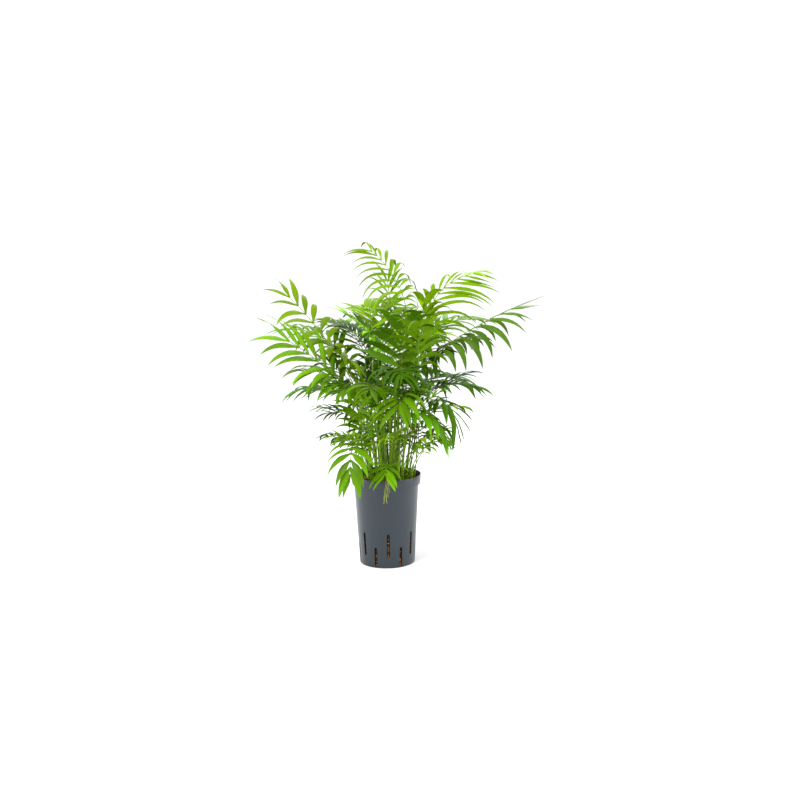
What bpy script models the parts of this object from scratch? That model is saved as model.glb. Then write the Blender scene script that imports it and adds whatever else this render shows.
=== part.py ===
"""Parlour palm in a slotted culture pot of clay granules.

The plant is a clump of seedlings: thin canes stand in the granules, and each carries a
few pinnate fronds. A frond is a three-sided rib whose leaflets are drawn out of its two
lower sides. Units are metres and +Z is up. The origin is the centre of the pot's flat
underside, and the front of the plant faces -Y.
"""
import math
import random
from dataclasses import dataclass

import bmesh
import bpy
from mathutils import Matrix, Vector
from mathutils.bvhtree import BVHTree

MM = 0.001
UP = Vector((0.0, 0.0, 1.0))
TURN = 2.0 * math.pi
GOLDEN_TURN = math.radians(137.5)

# Clearance that touching pieces keep, and the room that leaflets keep from each other
GAP = 0.0003
LEAF_ROOM = 0.0005
LIMB_ROOM = 0.0008

# Pot: a thin tapered shell with a proud lip band
POT_HEIGHT = 0.193
POT_RIM_RADIUS = 0.0745
POT_BASE_RADIUS = 0.059
POT_BODY_TOP_RADIUS = 0.0690
POT_LIP_HEIGHT = 0.020
POT_LIP_TAPER = 0.001
POT_LIP_SLOPE = 0.004
POT_WALL = 0.0015
POT_FLOOR = 0.002
POT_FOOT_EDGE = 0.0015
POT_SIDES = 42
LIP_FOOT = POT_HEIGHT - POT_LIP_HEIGHT
LIP_FOOT_RADIUS = POT_RIM_RADIUS - POT_LIP_TAPER
BODY_TOP = LIP_FOOT - POT_LIP_SLOPE

# Slots: one row near the foot and one above it, taken in turn round the wall
SLOT_COUNT = 14
SLOT_WIDTH = 0.0060
SLOT_FIRST_AZIMUTH = math.radians(-87.0)
SLOT_SPANS = ((0.025, 0.075), (0.0035, 0.045))
SLOT_CORNER = 0.0018

# Granules: a plug that fills the pot to a little under its rim
SUBSTRATE_BELOW_RIM = 0.014
SUBSTRATE_TOP = POT_HEIGHT - SUBSTRATE_BELOW_RIM

# Canes: slim, tapering, flared at the foot, the tallest in the middle of the clump
CANE_COUNT = 14
CANE_SIDES = 7
CLUMP_CENTRE = Vector((0.008, 0.0, 0.0))
CLUMP_RADIUS = 0.047
CANE_FOOT_RADIUS = 0.0048
CANE_TIP_RADIUS = 0.0034
CANE_FLARE = 1.35
CANE_FLARE_HEIGHT = 0.007
CANE_TALLEST = 0.175
CANE_SHORTEST = 0.030
CANE_LEAN = math.radians(9.0)

# Petioles leave their cane at its top or at seats in steps below it
SEAT_STEP = 0.021
SEAT_LOWEST = 0.008
SEAT_TOWARDS_BLADE = 0.5
SEAT_HEIGHT_LOW = 0.190
SEAT_HEIGHT_HIGH = 0.335
BLADE_HEIGHT_LOW = 0.220
BLADE_HEIGHT_HIGH = 0.545
LEAF_BASE_LENGTH = 0.009
PETIOLE_HALF = 0.0019
RIB_TIP_HALF = 0.0008
RIB_DEPTH = 1.1
RIB_TOP = 0.4
FOOT_TILT = 0.25
PETIOLE_STATIONS = 5
PATH_STEPS = 12
BLADE_SHIFT = 0.25
PETIOLE_RISE = 0.06
RISE_INWARD = 0.6
TOP_HEADING = (0.9, 0.1)
SIDE_HEADING = (0.65, 0.75)
SEATS_TRIED = 5
SWINGS = tuple((swing, lift) for lift in (1.0, 2.5, -1.5)
               for swing in (0, 6, -6, 12, -12, 18, -18, 25, -25, 33, -33, 42, -42))

# Leaflets: their share of the blade, and how they change from its foot to its tip
BLADE_FIRST = 0.03
BLADE_LAST = 0.96
LEAF_ANGLES = (math.radians(66.0), math.radians(24.0))
LEAF_ANGLE_GROWTH = 1.2
LONGEST_AT = 0.4
FOOT_LOSS = 0.30
LEAF_ROOT_SHARE = 0.5
LEAF_WIDTH_BASE = 0.0075
LEAF_WIDTH_PER_LENGTH = 0.055
LEAF_THICKNESS = 0.0012
LEAF_THICKNESS_SHARE = 0.012
LEAF_SECTIONS = ((0.36, 1.0), (0.74, 0.68))
LEAF_STEPS = 24
ROOT_CLEAR = 0.05
LEAF_SAG = 2.0
LEAF_SAG_GROWTH = 0.8
LEAF_LEVELLING = 0.8
TIP_STIFFNESS = 0.45


@dataclass(frozen=True)
class Frond:
    """One frond. Its two places are in millimetres from the centre of the pot's underside."""

    name: str
    start: tuple
    tip: tuple
    bow: float = 12.0
    leaflet: float = 100.0
    broad: float = 1.0
    spread: float = 1.0
    droop: float = 1.1
    lift: float = 18.0
    roll: float = 0.0
    right_share: float = 1.0
    right_droop: float = 1.0
    tip_loss: float = 0.22
    pairs: int = 7
    tone: str = "green"


# The fronds that show, named by where they stand
SHOWN_FRONDS = (
    Frond("frond_crest_left", (47, 20, 545), (-28, 50, 668), bow=14, leaflet=98, broad=0.72, droop=1.8,
          lift=-12, roll=-50, right_share=0.78, right_droop=1.6, pairs=8, tone="lime"),
    Frond("frond_crest_right", (90, 0, 488), (194, -20, 618), bow=36, leaflet=130, broad=0.8, droop=1.1,
          lift=-30, roll=-42, pairs=8, tip_loss=0.55, tone="lime"),
    Frond("frond_crest_back", (15, 70, 500), (8, 90, 602), bow=4, leaflet=76, broad=0.8, droop=1.5,
          pairs=6, tone="green"),
    Frond("frond_crown_front", (84, -30, 462), (86, -60, 572), bow=6, leaflet=78, broad=1.5, spread=0.6,
          droop=2.4, pairs=5, tone="lime"),
    Frond("frond_right_reach", (116, -30, 456), (268, -60, 548), bow=7, leaflet=98, broad=1.1,
          droop=2.4, lift=-25, spread=0.9, roll=22, tone="blue"),
    Frond("frond_right_dark", (67, 20, 409), (178, 20, 476), bow=12, leaflet=95, broad=1.2, droop=2.0,
          pairs=6, tone="deep"),
    Frond("frond_left_high", (-104, 0, 456), (-200, 0, 576), bow=4, leaflet=86, broad=1.25, droop=1.3,
          lift=12, roll=-45, right_droop=2.0, pairs=5, tone="lime"),
    Frond("frond_left_mid", (-88, -40, 387), (-196, -80, 490), bow=8, leaflet=114, broad=1.2,
          spread=0.75, droop=1.0, lift=10, roll=-60, pairs=5, tone="green"),
    Frond("frond_left_low", (-60, -50, 362), (-160, -80, 425), bow=20, leaflet=84, broad=1.3, droop=1.4,
          lift=6, spread=0.75, roll=-15, pairs=6, tone="green"),
    Frond("frond_left_bright", (-65, -80, 415), (-98, -120, 473), bow=6, leaflet=84, broad=1.5,
          droop=1.8, roll=-20, pairs=4, tone="lime"),
    Frond("frond_left_under", (-43, -50, 335), (-94, -80, 393), bow=12, leaflet=78, broad=1.1,
          droop=2.2, pairs=6, tone="green"),
    Frond("frond_left_inner", (-22, -25, 362), (-72, -45, 440), bow=10, leaflet=88, broad=1.4,
          droop=1.8, pairs=6, tone="deep"),
    Frond("frond_left_fringe", (-46, -20, 268), (-62, -10, 362), bow=6, leaflet=75, broad=0.85,
          droop=1.8, lift=0, roll=-70, pairs=8, tone="green"),
    Frond("frond_left_spire", (-16, 50, 445), (-75, 60, 525), bow=10, leaflet=82, tone="green"),
    Frond("frond_left_back", (-41, 100, 450), (-110, 120, 505), bow=12, leaflet=76, broad=0.9, tone="deep"),
    Frond("frond_pot_left", (-62, -60, 272), (-71, -114, 214), bow=22, leaflet=76, broad=1.4, droop=1.2,
          pairs=5, tone="green"),
    Frond("frond_pot_front", (7, -55, 222), (0, -98, 214), bow=9, leaflet=64, broad=1.15,
          spread=1.2, droop=0.9, lift=14, pairs=4, tone="green"),
    Frond("frond_centre_fan", (44, -100, 373), (30, -180, 368), bow=16, leaflet=102, broad=1.2,
          spread=1.15, droop=1.3, lift=24, pairs=6, tone="green"),
    Frond("frond_centre_drape", (32, -50, 391), (40, -80, 512), bow=14, leaflet=118, broad=1.5,
          droop=2.2, pairs=6, tone="deep"),
    Frond("frond_centre_bright", (69, -100, 432), (73, -150, 520), bow=14, leaflet=88, broad=1.4,
          droop=1.9, pairs=6, tone="green"),
    Frond("frond_centre_low", (24, -100, 408), (36, -165, 425), bow=12, leaflet=85, broad=1.3,
          droop=1.8, pairs=6, tone="deep"),
    Frond("frond_right_low", (96, -30, 352), (146, -50, 310), bow=20, leaflet=86, broad=1.15,
          spread=1.2, droop=0.8, lift=0, pairs=5, tone="deep"),
    Frond("frond_right_tuft", (70, 15, 350), (180, 20, 378), bow=14, leaflet=80, broad=1.1, tone="deep"),
    Frond("frond_right_inner", (50, -40, 325), (116, -60, 292), bow=18, leaflet=76, broad=1.2,
          droop=1.4, tone="deep"),
    Frond("frond_right_fringe", (62, -10, 242), (112, -20, 272), bow=12, leaflet=64, broad=0.8,
          droop=1.6, tone="green"),
    Frond("inflorescence", (5, -91, 204), (-1, -97, 168), bow=0, leaflet=26, broad=0.13, spread=0.6,
          droop=2.0, lift=0, pairs=4, tone="strand"),
)


@dataclass(frozen=True)
class Tier:
    """A fan of fronds that fills the crown where the shown ones leave it open.

    Angles are in degrees round the plant from +X, reaches and heights in millimetres.
    """

    name: str
    count: int
    azimuths: tuple
    start: tuple
    tip: tuple
    leaflet: float
    tone: str


TIERS = (
    Tier("frond_rear_top", 4, (42, 118), (52, 450), (110, 528), 80, "lime"),
    Tier("frond_rear_mid", 5, (28, 154), (80, 415), (210, 488), 98, "green"),
    Tier("frond_rear_low", 4, (28, 148), (75, 335), (190, 352), 90, "deep"),
    Tier("frond_front_mid", 3, (-126, -62), (70, 345), (165, 392), 84, "green"),
    Tier("frond_rear_rim", 2, (70, 140), (62, 245), (120, 262), 62, "green"),
)
TIER_JITTER = 0.10
FILL_SEED = 11

LEAF_COLOURS = {
    "lime": (0.175, 0.345, 0.006, 1.0),
    "green": (0.085, 0.21, 0.006, 1.0),
    "deep": (0.035, 0.11, 0.008, 1.0),
    "blue": (0.045, 0.135, 0.022, 1.0),
    "strand": (0.25, 0.30, 0.06, 1.0),
}
POT_COLOUR = (0.060, 0.078, 0.094, 1.0)
SUBSTRATE_COLOUR = (0.16, 0.065, 0.028, 1.0)
CANE_COLOUR = (0.10, 0.18, 0.03, 1.0)


def clear_scene():
    """Removes every object, so that the model starts from nothing."""
    for item in list(bpy.data.objects):
        bpy.data.objects.remove(item, do_unlink=True)


def finish_material(name, colour, roughness, metallic=0.0):
    """Makes one Principled material."""
    material = bpy.data.materials.new(name)
    material.use_nodes = True
    shader = material.node_tree.nodes["Principled BSDF"]
    shader.inputs["Base Color"].default_value = colour
    shader.inputs["Roughness"].default_value = roughness
    shader.inputs["Metallic"].default_value = metallic
    return material


def add_object(name, bm, material, smooth_angle=None):
    """Turns a bmesh into a named object with outward faces and one material."""
    bmesh.ops.recalc_face_normals(bm, faces=bm.faces)
    mesh = bpy.data.meshes.new(name)
    bm.to_mesh(mesh)
    bm.free()
    if smooth_angle is not None:
        mesh.shade_smooth()
        mesh.set_sharp_from_angle(angle=math.radians(smooth_angle))
    item = bpy.data.objects.new(name, mesh)
    item.data.materials.append(material)
    bpy.context.collection.objects.link(item)
    return item


def mix(low, high, share):
    """Returns the value a share of the way from low to high."""
    return low + (high - low) * share


def extrude_through(bm, face, sections):
    """Draws a face out through a row of sections and returns the last face and every ring."""
    rings = [list(face.verts)]
    for section in sections:
        face = bmesh.ops.extrude_discrete_faces(bm, faces=[face])["faces"][0]
        for vert, point in zip(face.verts, section):
            vert.co = point
        rings.append(list(face.verts))
    return face, rings


def turned_solid(profile, sides):
    """Spins a profile of (radius, height) pairs that starts and ends on the axis."""
    bm = bmesh.new()
    verts = [bm.verts.new((radius, 0.0, height)) for radius, height in profile]
    edges = [bm.edges.new(pair) for pair in zip(verts, verts[1:])]
    bmesh.ops.spin(bm, geom=verts + edges, cent=(0, 0, 0), axis=(0, 0, 1),
                   angle=TURN, steps=sides, use_merge=True)
    bmesh.ops.remove_doubles(bm, verts=bm.verts, dist=0.00001)
    return bm


def body_radius(height):
    """Returns the outer radius of the pot's tapered body at a height."""
    return mix(POT_BASE_RADIUS, POT_BODY_TOP_RADIUS, height / BODY_TOP)


def build_pot(material):
    """Turns the pot's shell and cuts its slots."""
    profile = (
        (0.0, 0.0),
        (POT_BASE_RADIUS - POT_FOOT_EDGE, 0.0),
        (body_radius(POT_FOOT_EDGE), POT_FOOT_EDGE),
        (POT_BODY_TOP_RADIUS, BODY_TOP),
        (LIP_FOOT_RADIUS, LIP_FOOT),
        (POT_RIM_RADIUS, POT_HEIGHT),
        (POT_RIM_RADIUS - POT_WALL, POT_HEIGHT),
        (LIP_FOOT_RADIUS - POT_WALL, LIP_FOOT),
        (POT_BODY_TOP_RADIUS - POT_WALL, BODY_TOP),
        (body_radius(POT_FLOOR) - POT_WALL, POT_FLOOR),
        (0.0, POT_FLOOR),
    )
    pot = add_object("pot", turned_solid(profile, POT_SIDES), material, smooth_angle=30)
    cutter = slot_cutter()
    cut = pot.modifiers.new("slots", "BOOLEAN")
    cut.operation = "DIFFERENCE"
    cut.solver = "EXACT"
    cut.object = cutter
    return pot


def slot_cutter():
    """Makes the radial bars that cut the slots, with bevelled ends."""
    bm = bmesh.new()
    depth = POT_WALL * 8.0
    for index in range(SLOT_COUNT):
        low, high = SLOT_SPANS[index % 2]
        middle = 0.5 * (low + high)
        azimuth = SLOT_FIRST_AZIMUTH + TURN * index / SLOT_COUNT
        shape = Matrix.Diagonal((depth, SLOT_WIDTH, high - low, 1.0))
        place = Matrix.Rotation(azimuth, 4, "Z") @ Matrix.Translation((body_radius(middle), 0.0, middle))
        bar = bmesh.ops.create_cube(bm, size=1.0, matrix=place @ shape)["verts"]
        outward = Vector((math.cos(azimuth), math.sin(azimuth), 0.0))
        edges = {edge for vert in bar for edge in vert.link_edges
                 if abs((edge.verts[1].co - edge.verts[0].co).normalized().dot(outward)) > 0.9}
        bmesh.ops.bevel(bm, geom=list(edges), offset=SLOT_CORNER, segments=1, profile=0.5,
                        affect="EDGES", material=-1)
    cutter = add_object("slot_cutter", bm, bpy.data.materials.new("cutter"))
    cutter.hide_render = True
    cutter.display_type = "WIRE"
    return cutter


def build_substrate(material):
    """Turns the plug of granules, clear of the pot's inside all round."""
    low = POT_FLOOR + GAP
    inset = POT_WALL + GAP
    profile = (
        (0.0, low),
        (body_radius(low) - inset, low),
        (POT_BODY_TOP_RADIUS - inset, BODY_TOP + GAP),
        (LIP_FOOT_RADIUS - inset, LIP_FOOT + GAP),
        (LIP_FOOT_RADIUS - inset, SUBSTRATE_TOP),
        (0.0, SUBSTRATE_TOP),
    )
    return add_object("substrate", turned_solid(profile, POT_SIDES), material, smooth_angle=30)


class Space:
    """Keeps the shapes that are already placed and says whether a new one is clear of them."""

    def __init__(self):
        self.shapes = []

    def add(self, points, faces, owner=""):
        """Stores a shape by its points and faces, under the name of what owns it."""
        self.shapes.append((*self.limits(points), BVHTree.FromPolygons(points, faces), owner))

    def add_object(self, item):
        """Stores the mesh of an object."""
        points = [vert.co.copy() for vert in item.data.vertices]
        self.add(points, [tuple(face.vertices) for face in item.data.polygons])

    @staticmethod
    def limits(points):
        """Returns the lowest and highest corner of some points."""
        low = [min(point[axis] for point in points) for axis in range(3)]
        high = [max(point[axis] for point in points) for axis in range(3)]
        return low, high

    def is_free(self, points, faces, ignored=None):
        """Tells whether a shape meets none of the stored ones, apart from those of one owner."""
        low, high = self.limits(points)
        tree = None
        for other_low, other_high, other_tree, owner in self.shapes:
            if owner == ignored:
                continue
            if any(low[axis] > other_high[axis] or high[axis] < other_low[axis] for axis in range(3)):
                continue
            tree = tree or BVHTree.FromPolygons(points, faces)
            if tree.overlap(other_tree):
                return False
        return True


def tube_shape(sections):
    """Returns the points and faces of a tube through sections of equal count."""
    size = len(sections[0])
    points = [point for section in sections for point in section]
    faces = [tuple(range(size)), tuple(range(len(points) - size, len(points)))]
    for ring in range(len(sections) - 1):
        for side in range(size):
            near = ring * size + side
            next_near = ring * size + (side + 1) % size
            faces.append((near, next_near, next_near + size, near + size))
    return points, faces


@dataclass
class Cane:
    """One slim cane: its foot, its tip, and the seats on it that hold no petiole yet."""

    foot: Vector
    tip: Vector
    free_seats: list

    @property
    def axis(self):
        """Returns the direction from the foot to the tip."""
        return (self.tip - self.foot).normalized()

    def radius(self, share):
        """Returns the cane's radius a share of the way up."""
        return mix(CANE_FOOT_RADIUS, CANE_TIP_RADIUS, share)

    def sections(self, grow=0.0):
        """Returns the rings of the cane from its flat foot to its tip."""
        length = (self.tip - self.foot).length
        flare = CANE_FLARE_HEIGHT / length
        rings = []
        for share, swell in ((0.0, CANE_FLARE), (flare, 1.0), (0.5 + flare / 2.0, 1.0), (1.0, 1.0)):
            centre = self.foot.lerp(self.tip, share)
            radius = self.radius(share) * swell + grow
            rings.append([centre + Matrix.Rotation(TURN * side / CANE_SIDES, 3, "Z")
                          @ Vector((radius, 0.0, 0.0)) for side in range(CANE_SIDES)])
        return rings


def place_canes():
    """Spreads the canes over the clump on a sunflower spiral."""
    canes = []
    for index in range(CANE_COUNT):
        share = math.sqrt((index + 0.5) / CANE_COUNT)
        azimuth = index * GOLDEN_TURN
        outward = Vector((math.cos(azimuth), math.sin(azimuth), 0.0))
        foot = CLUMP_CENTRE + outward * CLUMP_RADIUS * share + UP * (SUBSTRATE_TOP + GAP)
        height = mix(CANE_TALLEST, CANE_SHORTEST, share ** 2)
        lean = outward * math.tan(CANE_LEAN * share)
        seats = [place * SEAT_STEP for place in range(int((height - SEAT_LOWEST) / SEAT_STEP) + 1)]
        canes.append(Cane(foot, foot + (UP + lean) * height, seats))
    return canes


def build_cane(name, cane, material):
    """Builds one cane from a flat ring drawn up to its tip."""
    rings = cane.sections()
    bm = bmesh.new()
    verts = [bm.verts.new(point) for point in rings[0]]
    extrude_through(bm, bm.faces.new(verts), rings[1:])
    bm.faces.new(verts)
    return add_object(name, bm, material, smooth_angle=40)


def filling_fronds():
    """Works out the fronds of each tier, spread over its angles with a little seeded variety."""
    rng = random.Random(FILL_SEED)
    fronds = []
    for tier in TIERS:
        for index in range(tier.count):
            share = index / max(1, tier.count - 1)
            azimuth = math.radians(mix(*tier.azimuths, share) + rng.uniform(-6.0, 6.0))
            outward = Vector((math.cos(azimuth), math.sin(azimuth), 0.0))
            size = 1.0 + rng.uniform(-TIER_JITTER, TIER_JITTER)
            start = outward * tier.start[0] * size + UP * tier.start[1] * size
            tip = outward * tier.tip[0] * size + UP * tier.tip[1] * (1.0 + (size - 1.0) * 0.5)
            fronds.append(Frond(f"{tier.name}_{index + 1}", tuple(start), tuple(tip),
                                bow=rng.uniform(12.0, 24.0), leaflet=tier.leaflet * size,
                                roll=rng.uniform(-15.0, 15.0), tone=tier.tone))
    return fronds


def smooth_path(knots):
    """Returns points along a smooth curve through the knots."""
    spans = [(after - before).length for before, after in zip(knots, knots[1:])]
    slopes = [(after - before) / span for before, after, span in zip(knots, knots[1:], spans)]
    headings = [slopes[0]]
    for index in range(1, len(spans)):
        before, after = spans[index - 1], spans[index]
        headings.append((slopes[index - 1] * after + slopes[index] * before) / (before + after))
    headings.append(slopes[-1] * 2.0 - headings[-1])
    points = []
    for index, span in enumerate(spans):
        for step in range(PATH_STEPS):
            t = step / PATH_STEPS
            points.append(knots[index] * (2 * t ** 3 - 3 * t ** 2 + 1)
                          + headings[index] * span * (t ** 3 - 2 * t ** 2 + t)
                          + knots[index + 1] * (3 * t ** 2 - 2 * t ** 3)
                          + headings[index + 1] * span * (t ** 3 - t ** 2))
    points.append(knots[-1])
    return points


class Rib:
    """The petiole and rib of one frond, from its cane to its tip."""

    def __init__(self, frond, knots, blade_knot):
        self.frond = frond
        self.points = smooth_path(knots)
        self.lengths = [0.0]
        for before, after in zip(self.points, self.points[1:]):
            self.lengths.append(self.lengths[-1] + (after - before).length)
        self.total = self.lengths[-1]
        self.blade_start = self.lengths[blade_knot * PATH_STEPS]
        heading = knots[-1] - knots[blade_knot]
        self.across = UP.cross(heading.normalized()).normalized()
        self.pair_places = self.place_pairs()
        self.rings = [self.section(distance) for distance in self.stations()]

    def at(self, distance):
        """Returns the point and the direction at a distance along the rib."""
        distance = min(max(distance, 0.0), self.total)
        index = 1
        while self.lengths[index] < distance and index < len(self.lengths) - 1:
            index += 1
        before, after = self.lengths[index - 1], self.lengths[index]
        share = (distance - before) / (after - before)
        point = self.points[index - 1].lerp(self.points[index], share)
        low, high = max(index - 2, 0), min(index + 1, len(self.points) - 1)
        return point, (self.points[high] - self.points[low]).normalized()

    def frame(self, distance):
        """Returns the point, direction, left side and upper side at a distance along the rib."""
        point, along = self.at(distance)
        side = (self.across - along * self.across.dot(along)).normalized()
        roll = math.radians(self.frond.roll) * min(distance / self.blade_start, 1.0)
        side = Matrix.Rotation(roll, 3, along) @ side
        return point, along, side, along.cross(side)

    def leaf_length(self, share):
        """Returns the length of the leaflets a share of the way along the blade."""
        below = share < LONGEST_AT
        offset = (share - LONGEST_AT) / (LONGEST_AT if below else 1.0 - LONGEST_AT)
        loss = FOOT_LOSS if below else self.frond.tip_loss
        return self.frond.leaflet * MM * (1.0 - loss * offset ** 2)

    def leaf_width(self, length):
        """Returns the width of a leaflet of a given length."""
        return (LEAF_WIDTH_BASE + LEAF_WIDTH_PER_LENGTH * length) * self.frond.broad

    def place_pairs(self):
        """Returns the share, the middle and the root width of each leaflet pair."""
        blade = self.total - self.blade_start
        places = []
        for index in range(self.frond.pairs):
            share = index / (self.frond.pairs - 1)
            middle = self.blade_start + blade * mix(BLADE_FIRST, BLADE_LAST, share)
            root = self.leaf_width(self.leaf_length(share)) * LEAF_ROOT_SHARE
            places.append((share, middle, root))
        return places

    def half_width(self, distance):
        """Returns half the rib's width, which tapers to its tip."""
        return mix(PETIOLE_HALF, RIB_TIP_HALF, distance / self.total)

    def section(self, distance, grow=0.0):
        """Returns the left, right and lower corner of the rib at a distance along it."""
        point, _, side, over = self.frame(distance)
        half = self.half_width(distance) + grow
        return [point + side * half + over * half * RIB_TOP,
                point - side * half + over * half * RIB_TOP,
                point - over * half * RIB_DEPTH]

    def stations(self):
        """Returns the distances of the rib's rings: the petiole's, then two for each pair."""
        first_leaf = self.pair_places[0][1] - self.pair_places[0][2] / 2.0
        distances = [first_leaf * step / PETIOLE_STATIONS for step in range(PETIOLE_STATIONS)]
        distances[1] = min(distances[1], LEAF_BASE_LENGTH)
        for _, middle, root in self.pair_places:
            distances += [middle - root / 2.0, middle + root / 2.0]
        return distances + [max(self.total, distances[-1] + MM)]

    def test_shape(self):
        """Returns the rib past its base, a little thicker, to try whether it is clear."""
        return tube_shape([self.section(distance, LIMB_ROOM) for distance in self.stations()[1:]])


def rank_seats(canes, start):
    """Returns the free seats as (cane, depth below its tip), the most suitable for a blade first."""
    share = (start.z - BLADE_HEIGHT_LOW) / (BLADE_HEIGHT_HIGH - BLADE_HEIGHT_LOW)
    wanted = CLUMP_CENTRE.lerp(start, SEAT_TOWARDS_BLADE)
    wanted.z = mix(SEAT_HEIGHT_LOW, SEAT_HEIGHT_HIGH, share)

    def distance(choice):
        cane, depth = choice
        return (cane.tip - cane.axis * depth - wanted).length

    return sorted(((cane, depth) for cane in canes for depth in cane.free_seats), key=distance)


def try_rib(frond, cane, depth, swing, lift):
    """Lays out a rib from one seat, with its petiole swung aside and lifted by given amounts."""
    start, tip = Vector(frond.start) * MM, Vector(frond.tip) * MM
    share = 1.0 - depth / (cane.tip - cane.foot).length
    seat = cane.foot.lerp(cane.tip, share)
    outward = start - seat
    outward = (outward - cane.axis * outward.dot(cane.axis)).normalized()
    if depth == 0.0:
        base = seat + cane.axis * (GAP + PETIOLE_HALF * FOOT_TILT)
        along, aside = TOP_HEADING
    else:
        base = seat + outward * (cane.radius(share) + GAP + PETIOLE_HALF * RIB_TOP)
        along, aside = SIDE_HEADING
    first = base + (cane.axis * along + outward * aside) * LEAF_BASE_LENGTH
    chord = start - first
    rise = (UP - outward * RISE_INWARD) * chord.length * PETIOLE_RISE * lift
    heading = (tip - start).normalized()
    bow = heading.cross(UP.cross(heading).normalized()) * frond.bow * MM
    shift = UP.cross(outward).normalized() * swing * MM
    via = first + chord * 0.5 + rise + shift
    blade = [place + shift * BLADE_SHIFT for place in (start, (start + tip) / 2.0 + bow, tip)]
    return Rib(frond, (base, first, via, *blade), 3)


def grow_rib(frond, canes, space):
    """Runs a petiole and rib from the best seat that has a free way out."""
    for cane, depth in rank_seats(canes, Vector(frond.start) * MM)[:SEATS_TRIED]:
        for swing, lift in SWINGS:
            rib = try_rib(frond, cane, depth, swing, lift)
            if space.is_free(*rib.test_shape()):
                cane.free_seats.remove(depth)
                space.add(*tube_shape(rib.rings), frond.name)
                return rib
    raise ValueError(f"{frond.name} finds no free way out")


@dataclass(frozen=True)
class Leaflet:
    """One leaflet: its pair, its side, and the sections and tip it is drawn through."""

    pair: int
    hand: int
    sections: tuple
    tip: Vector


def shape_leaflet(rib, pair, hand, sag, twist, size, grow=0.0):
    """Works out one leaflet, which leaves the rib at an angle and bends down under its weight."""
    share, middle, _ = rib.pair_places[pair]
    point, along, side, over = rib.frame(middle)
    angle = mix(*LEAF_ANGLES, share ** LEAF_ANGLE_GROWTH) * rib.frond.spread
    lift = math.radians(rib.frond.lift)
    outward = side * hand * math.cos(lift) + over * math.sin(lift)
    heading = (along * math.cos(angle) + outward * math.sin(angle)).normalized()
    length = rib.leaf_length(share) * size * (1.0 if hand == 1 else rib.frond.right_share)
    width = rib.leaf_width(length) + grow * 2.0
    thickness = max(LEAF_THICKNESS, LEAF_THICKNESS_SHARE * length) + grow * 2.0
    centre = point + side * hand * rib.half_width(middle)
    wanted = {round(place * LEAF_STEPS): breadth for place, breadth in LEAF_SECTIONS}
    droop = rib.frond.droop * (1.0 if hand == 1 else rib.frond.right_droop)
    fall = droop * sag * LEAF_SAG * (1.0 - TIP_STIFFNESS * share ** 2) / LEAF_STEPS
    sections = []
    for step in range(1, LEAF_STEPS + 1):
        reach = step / LEAF_STEPS
        heading = (heading - UP * fall * reach ** LEAF_SAG_GROWTH).normalized()
        centre = centre + heading * length / LEAF_STEPS
        if step in wanted:
            breadth = wanted[step]
            edge = (along - heading * along.dot(heading)).normalized()
            level = UP.cross(heading)
            level *= math.copysign(1.0, level.dot(edge))
            edge = edge.lerp(level, LEAF_LEVELLING * math.sqrt(reach)).normalized()
            edge = Matrix.Rotation(math.radians(twist) * hand * reach, 3, heading) @ edge
            under = heading.cross(edge) * hand
            half = edge * width * breadth / 2.0
            keel = under * thickness * (0.5 + breadth / 2.0)
            sections.append((centre - half, centre + half, centre + keel))
    return Leaflet(pair, hand, tuple(sections), centre)


def outer_diagonal(quad, hand):
    """Returns the two places of a quad's corners whose diagonal stands out from the blade."""
    first, second, third, fourth = quad
    outward = (third - first).cross(fourth - second) * hand
    return (0, 2) if (first + third - second - fourth).dot(outward) > 0.0 else (1, 3)


def leaflet_shape(root, leaflet):
    """Returns the points and faces of a leaflet from its root triangle to its tip."""
    rings = [root, *leaflet.sections]
    points = [point for ring in rings for point in ring] + [leaflet.tip]
    faces = [(0, 1, 2)]
    for near in range(0, 3 * len(leaflet.sections), 3):
        for side in range(3):
            beside = (side + 1) % 3
            quad = (near + side, near + beside, near + beside + 3, near + side + 3)
            low, high = outer_diagonal([points[index] for index in quad], leaflet.hand)
            faces += [(quad[low], quad[low + 1], quad[high]), (quad[high], quad[high - 3], quad[low])]
    last = len(points) - 4
    return points, faces + [(last + side, last + (side + 1) % 3, len(points) - 1) for side in range(3)]


def split_sides(bm, rings, hand):
    """Splits the quads between a leaflet's rings, so that none of them dips through the thin blade."""
    for near, far in zip(rings, rings[1:]):
        for side in range(3):
            beside = (side + 1) % 3
            quad = (near[side], near[beside], far[beside], far[side])
            low, high = outer_diagonal([vert.co for vert in quad], hand)
            bmesh.utils.face_split(bm.faces.get(quad), quad[low], quad[high])


TRIALS = ((1.0, 0.0, 1.0), (1.6, 0.0, 1.0), (0.5, 0.0, 1.0), (1.0, 25.0, 0.95), (2.2, 20.0, 0.9),
          (0.2, -20.0, 0.9), (1.3, 0.0, 0.75), (0.6, 20.0, 0.7), (1.8, 0.0, 0.55), (0.4, 0.0, 0.5))


def grow_leaflets(rib, space):
    """Fits each leaflet of a frond in free space and leaves out one that finds none."""
    leaflets = []
    own = Space()
    own.add(*tube_shape(rib.rings))
    for pair in range(rib.frond.pairs):
        ring = PETIOLE_STATIONS + 2 * pair
        for hand in (1, -1):
            corner = 0 if hand == 1 else 1
            root = (rib.rings[ring][corner], rib.rings[ring + 1][corner], rib.rings[ring + 1][2])
            for sag, twist, size in TRIALS:
                trial = shape_leaflet(rib, pair, hand, sag, twist, size, LEAF_ROOM)
                away = tuple(mix(near, far, ROOT_CLEAR) for near, far in zip(root, trial.sections[0]))
                if not space.is_free(*leaflet_shape(root, trial), rib.frond.name):
                    continue
                if own.is_free(*leaflet_shape(away, trial)):
                    leaflet = shape_leaflet(rib, pair, hand, sag, twist, size)
                    leaflets.append(leaflet)
                    own.add(*leaflet_shape(root, leaflet))
                    break
    return leaflets


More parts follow.
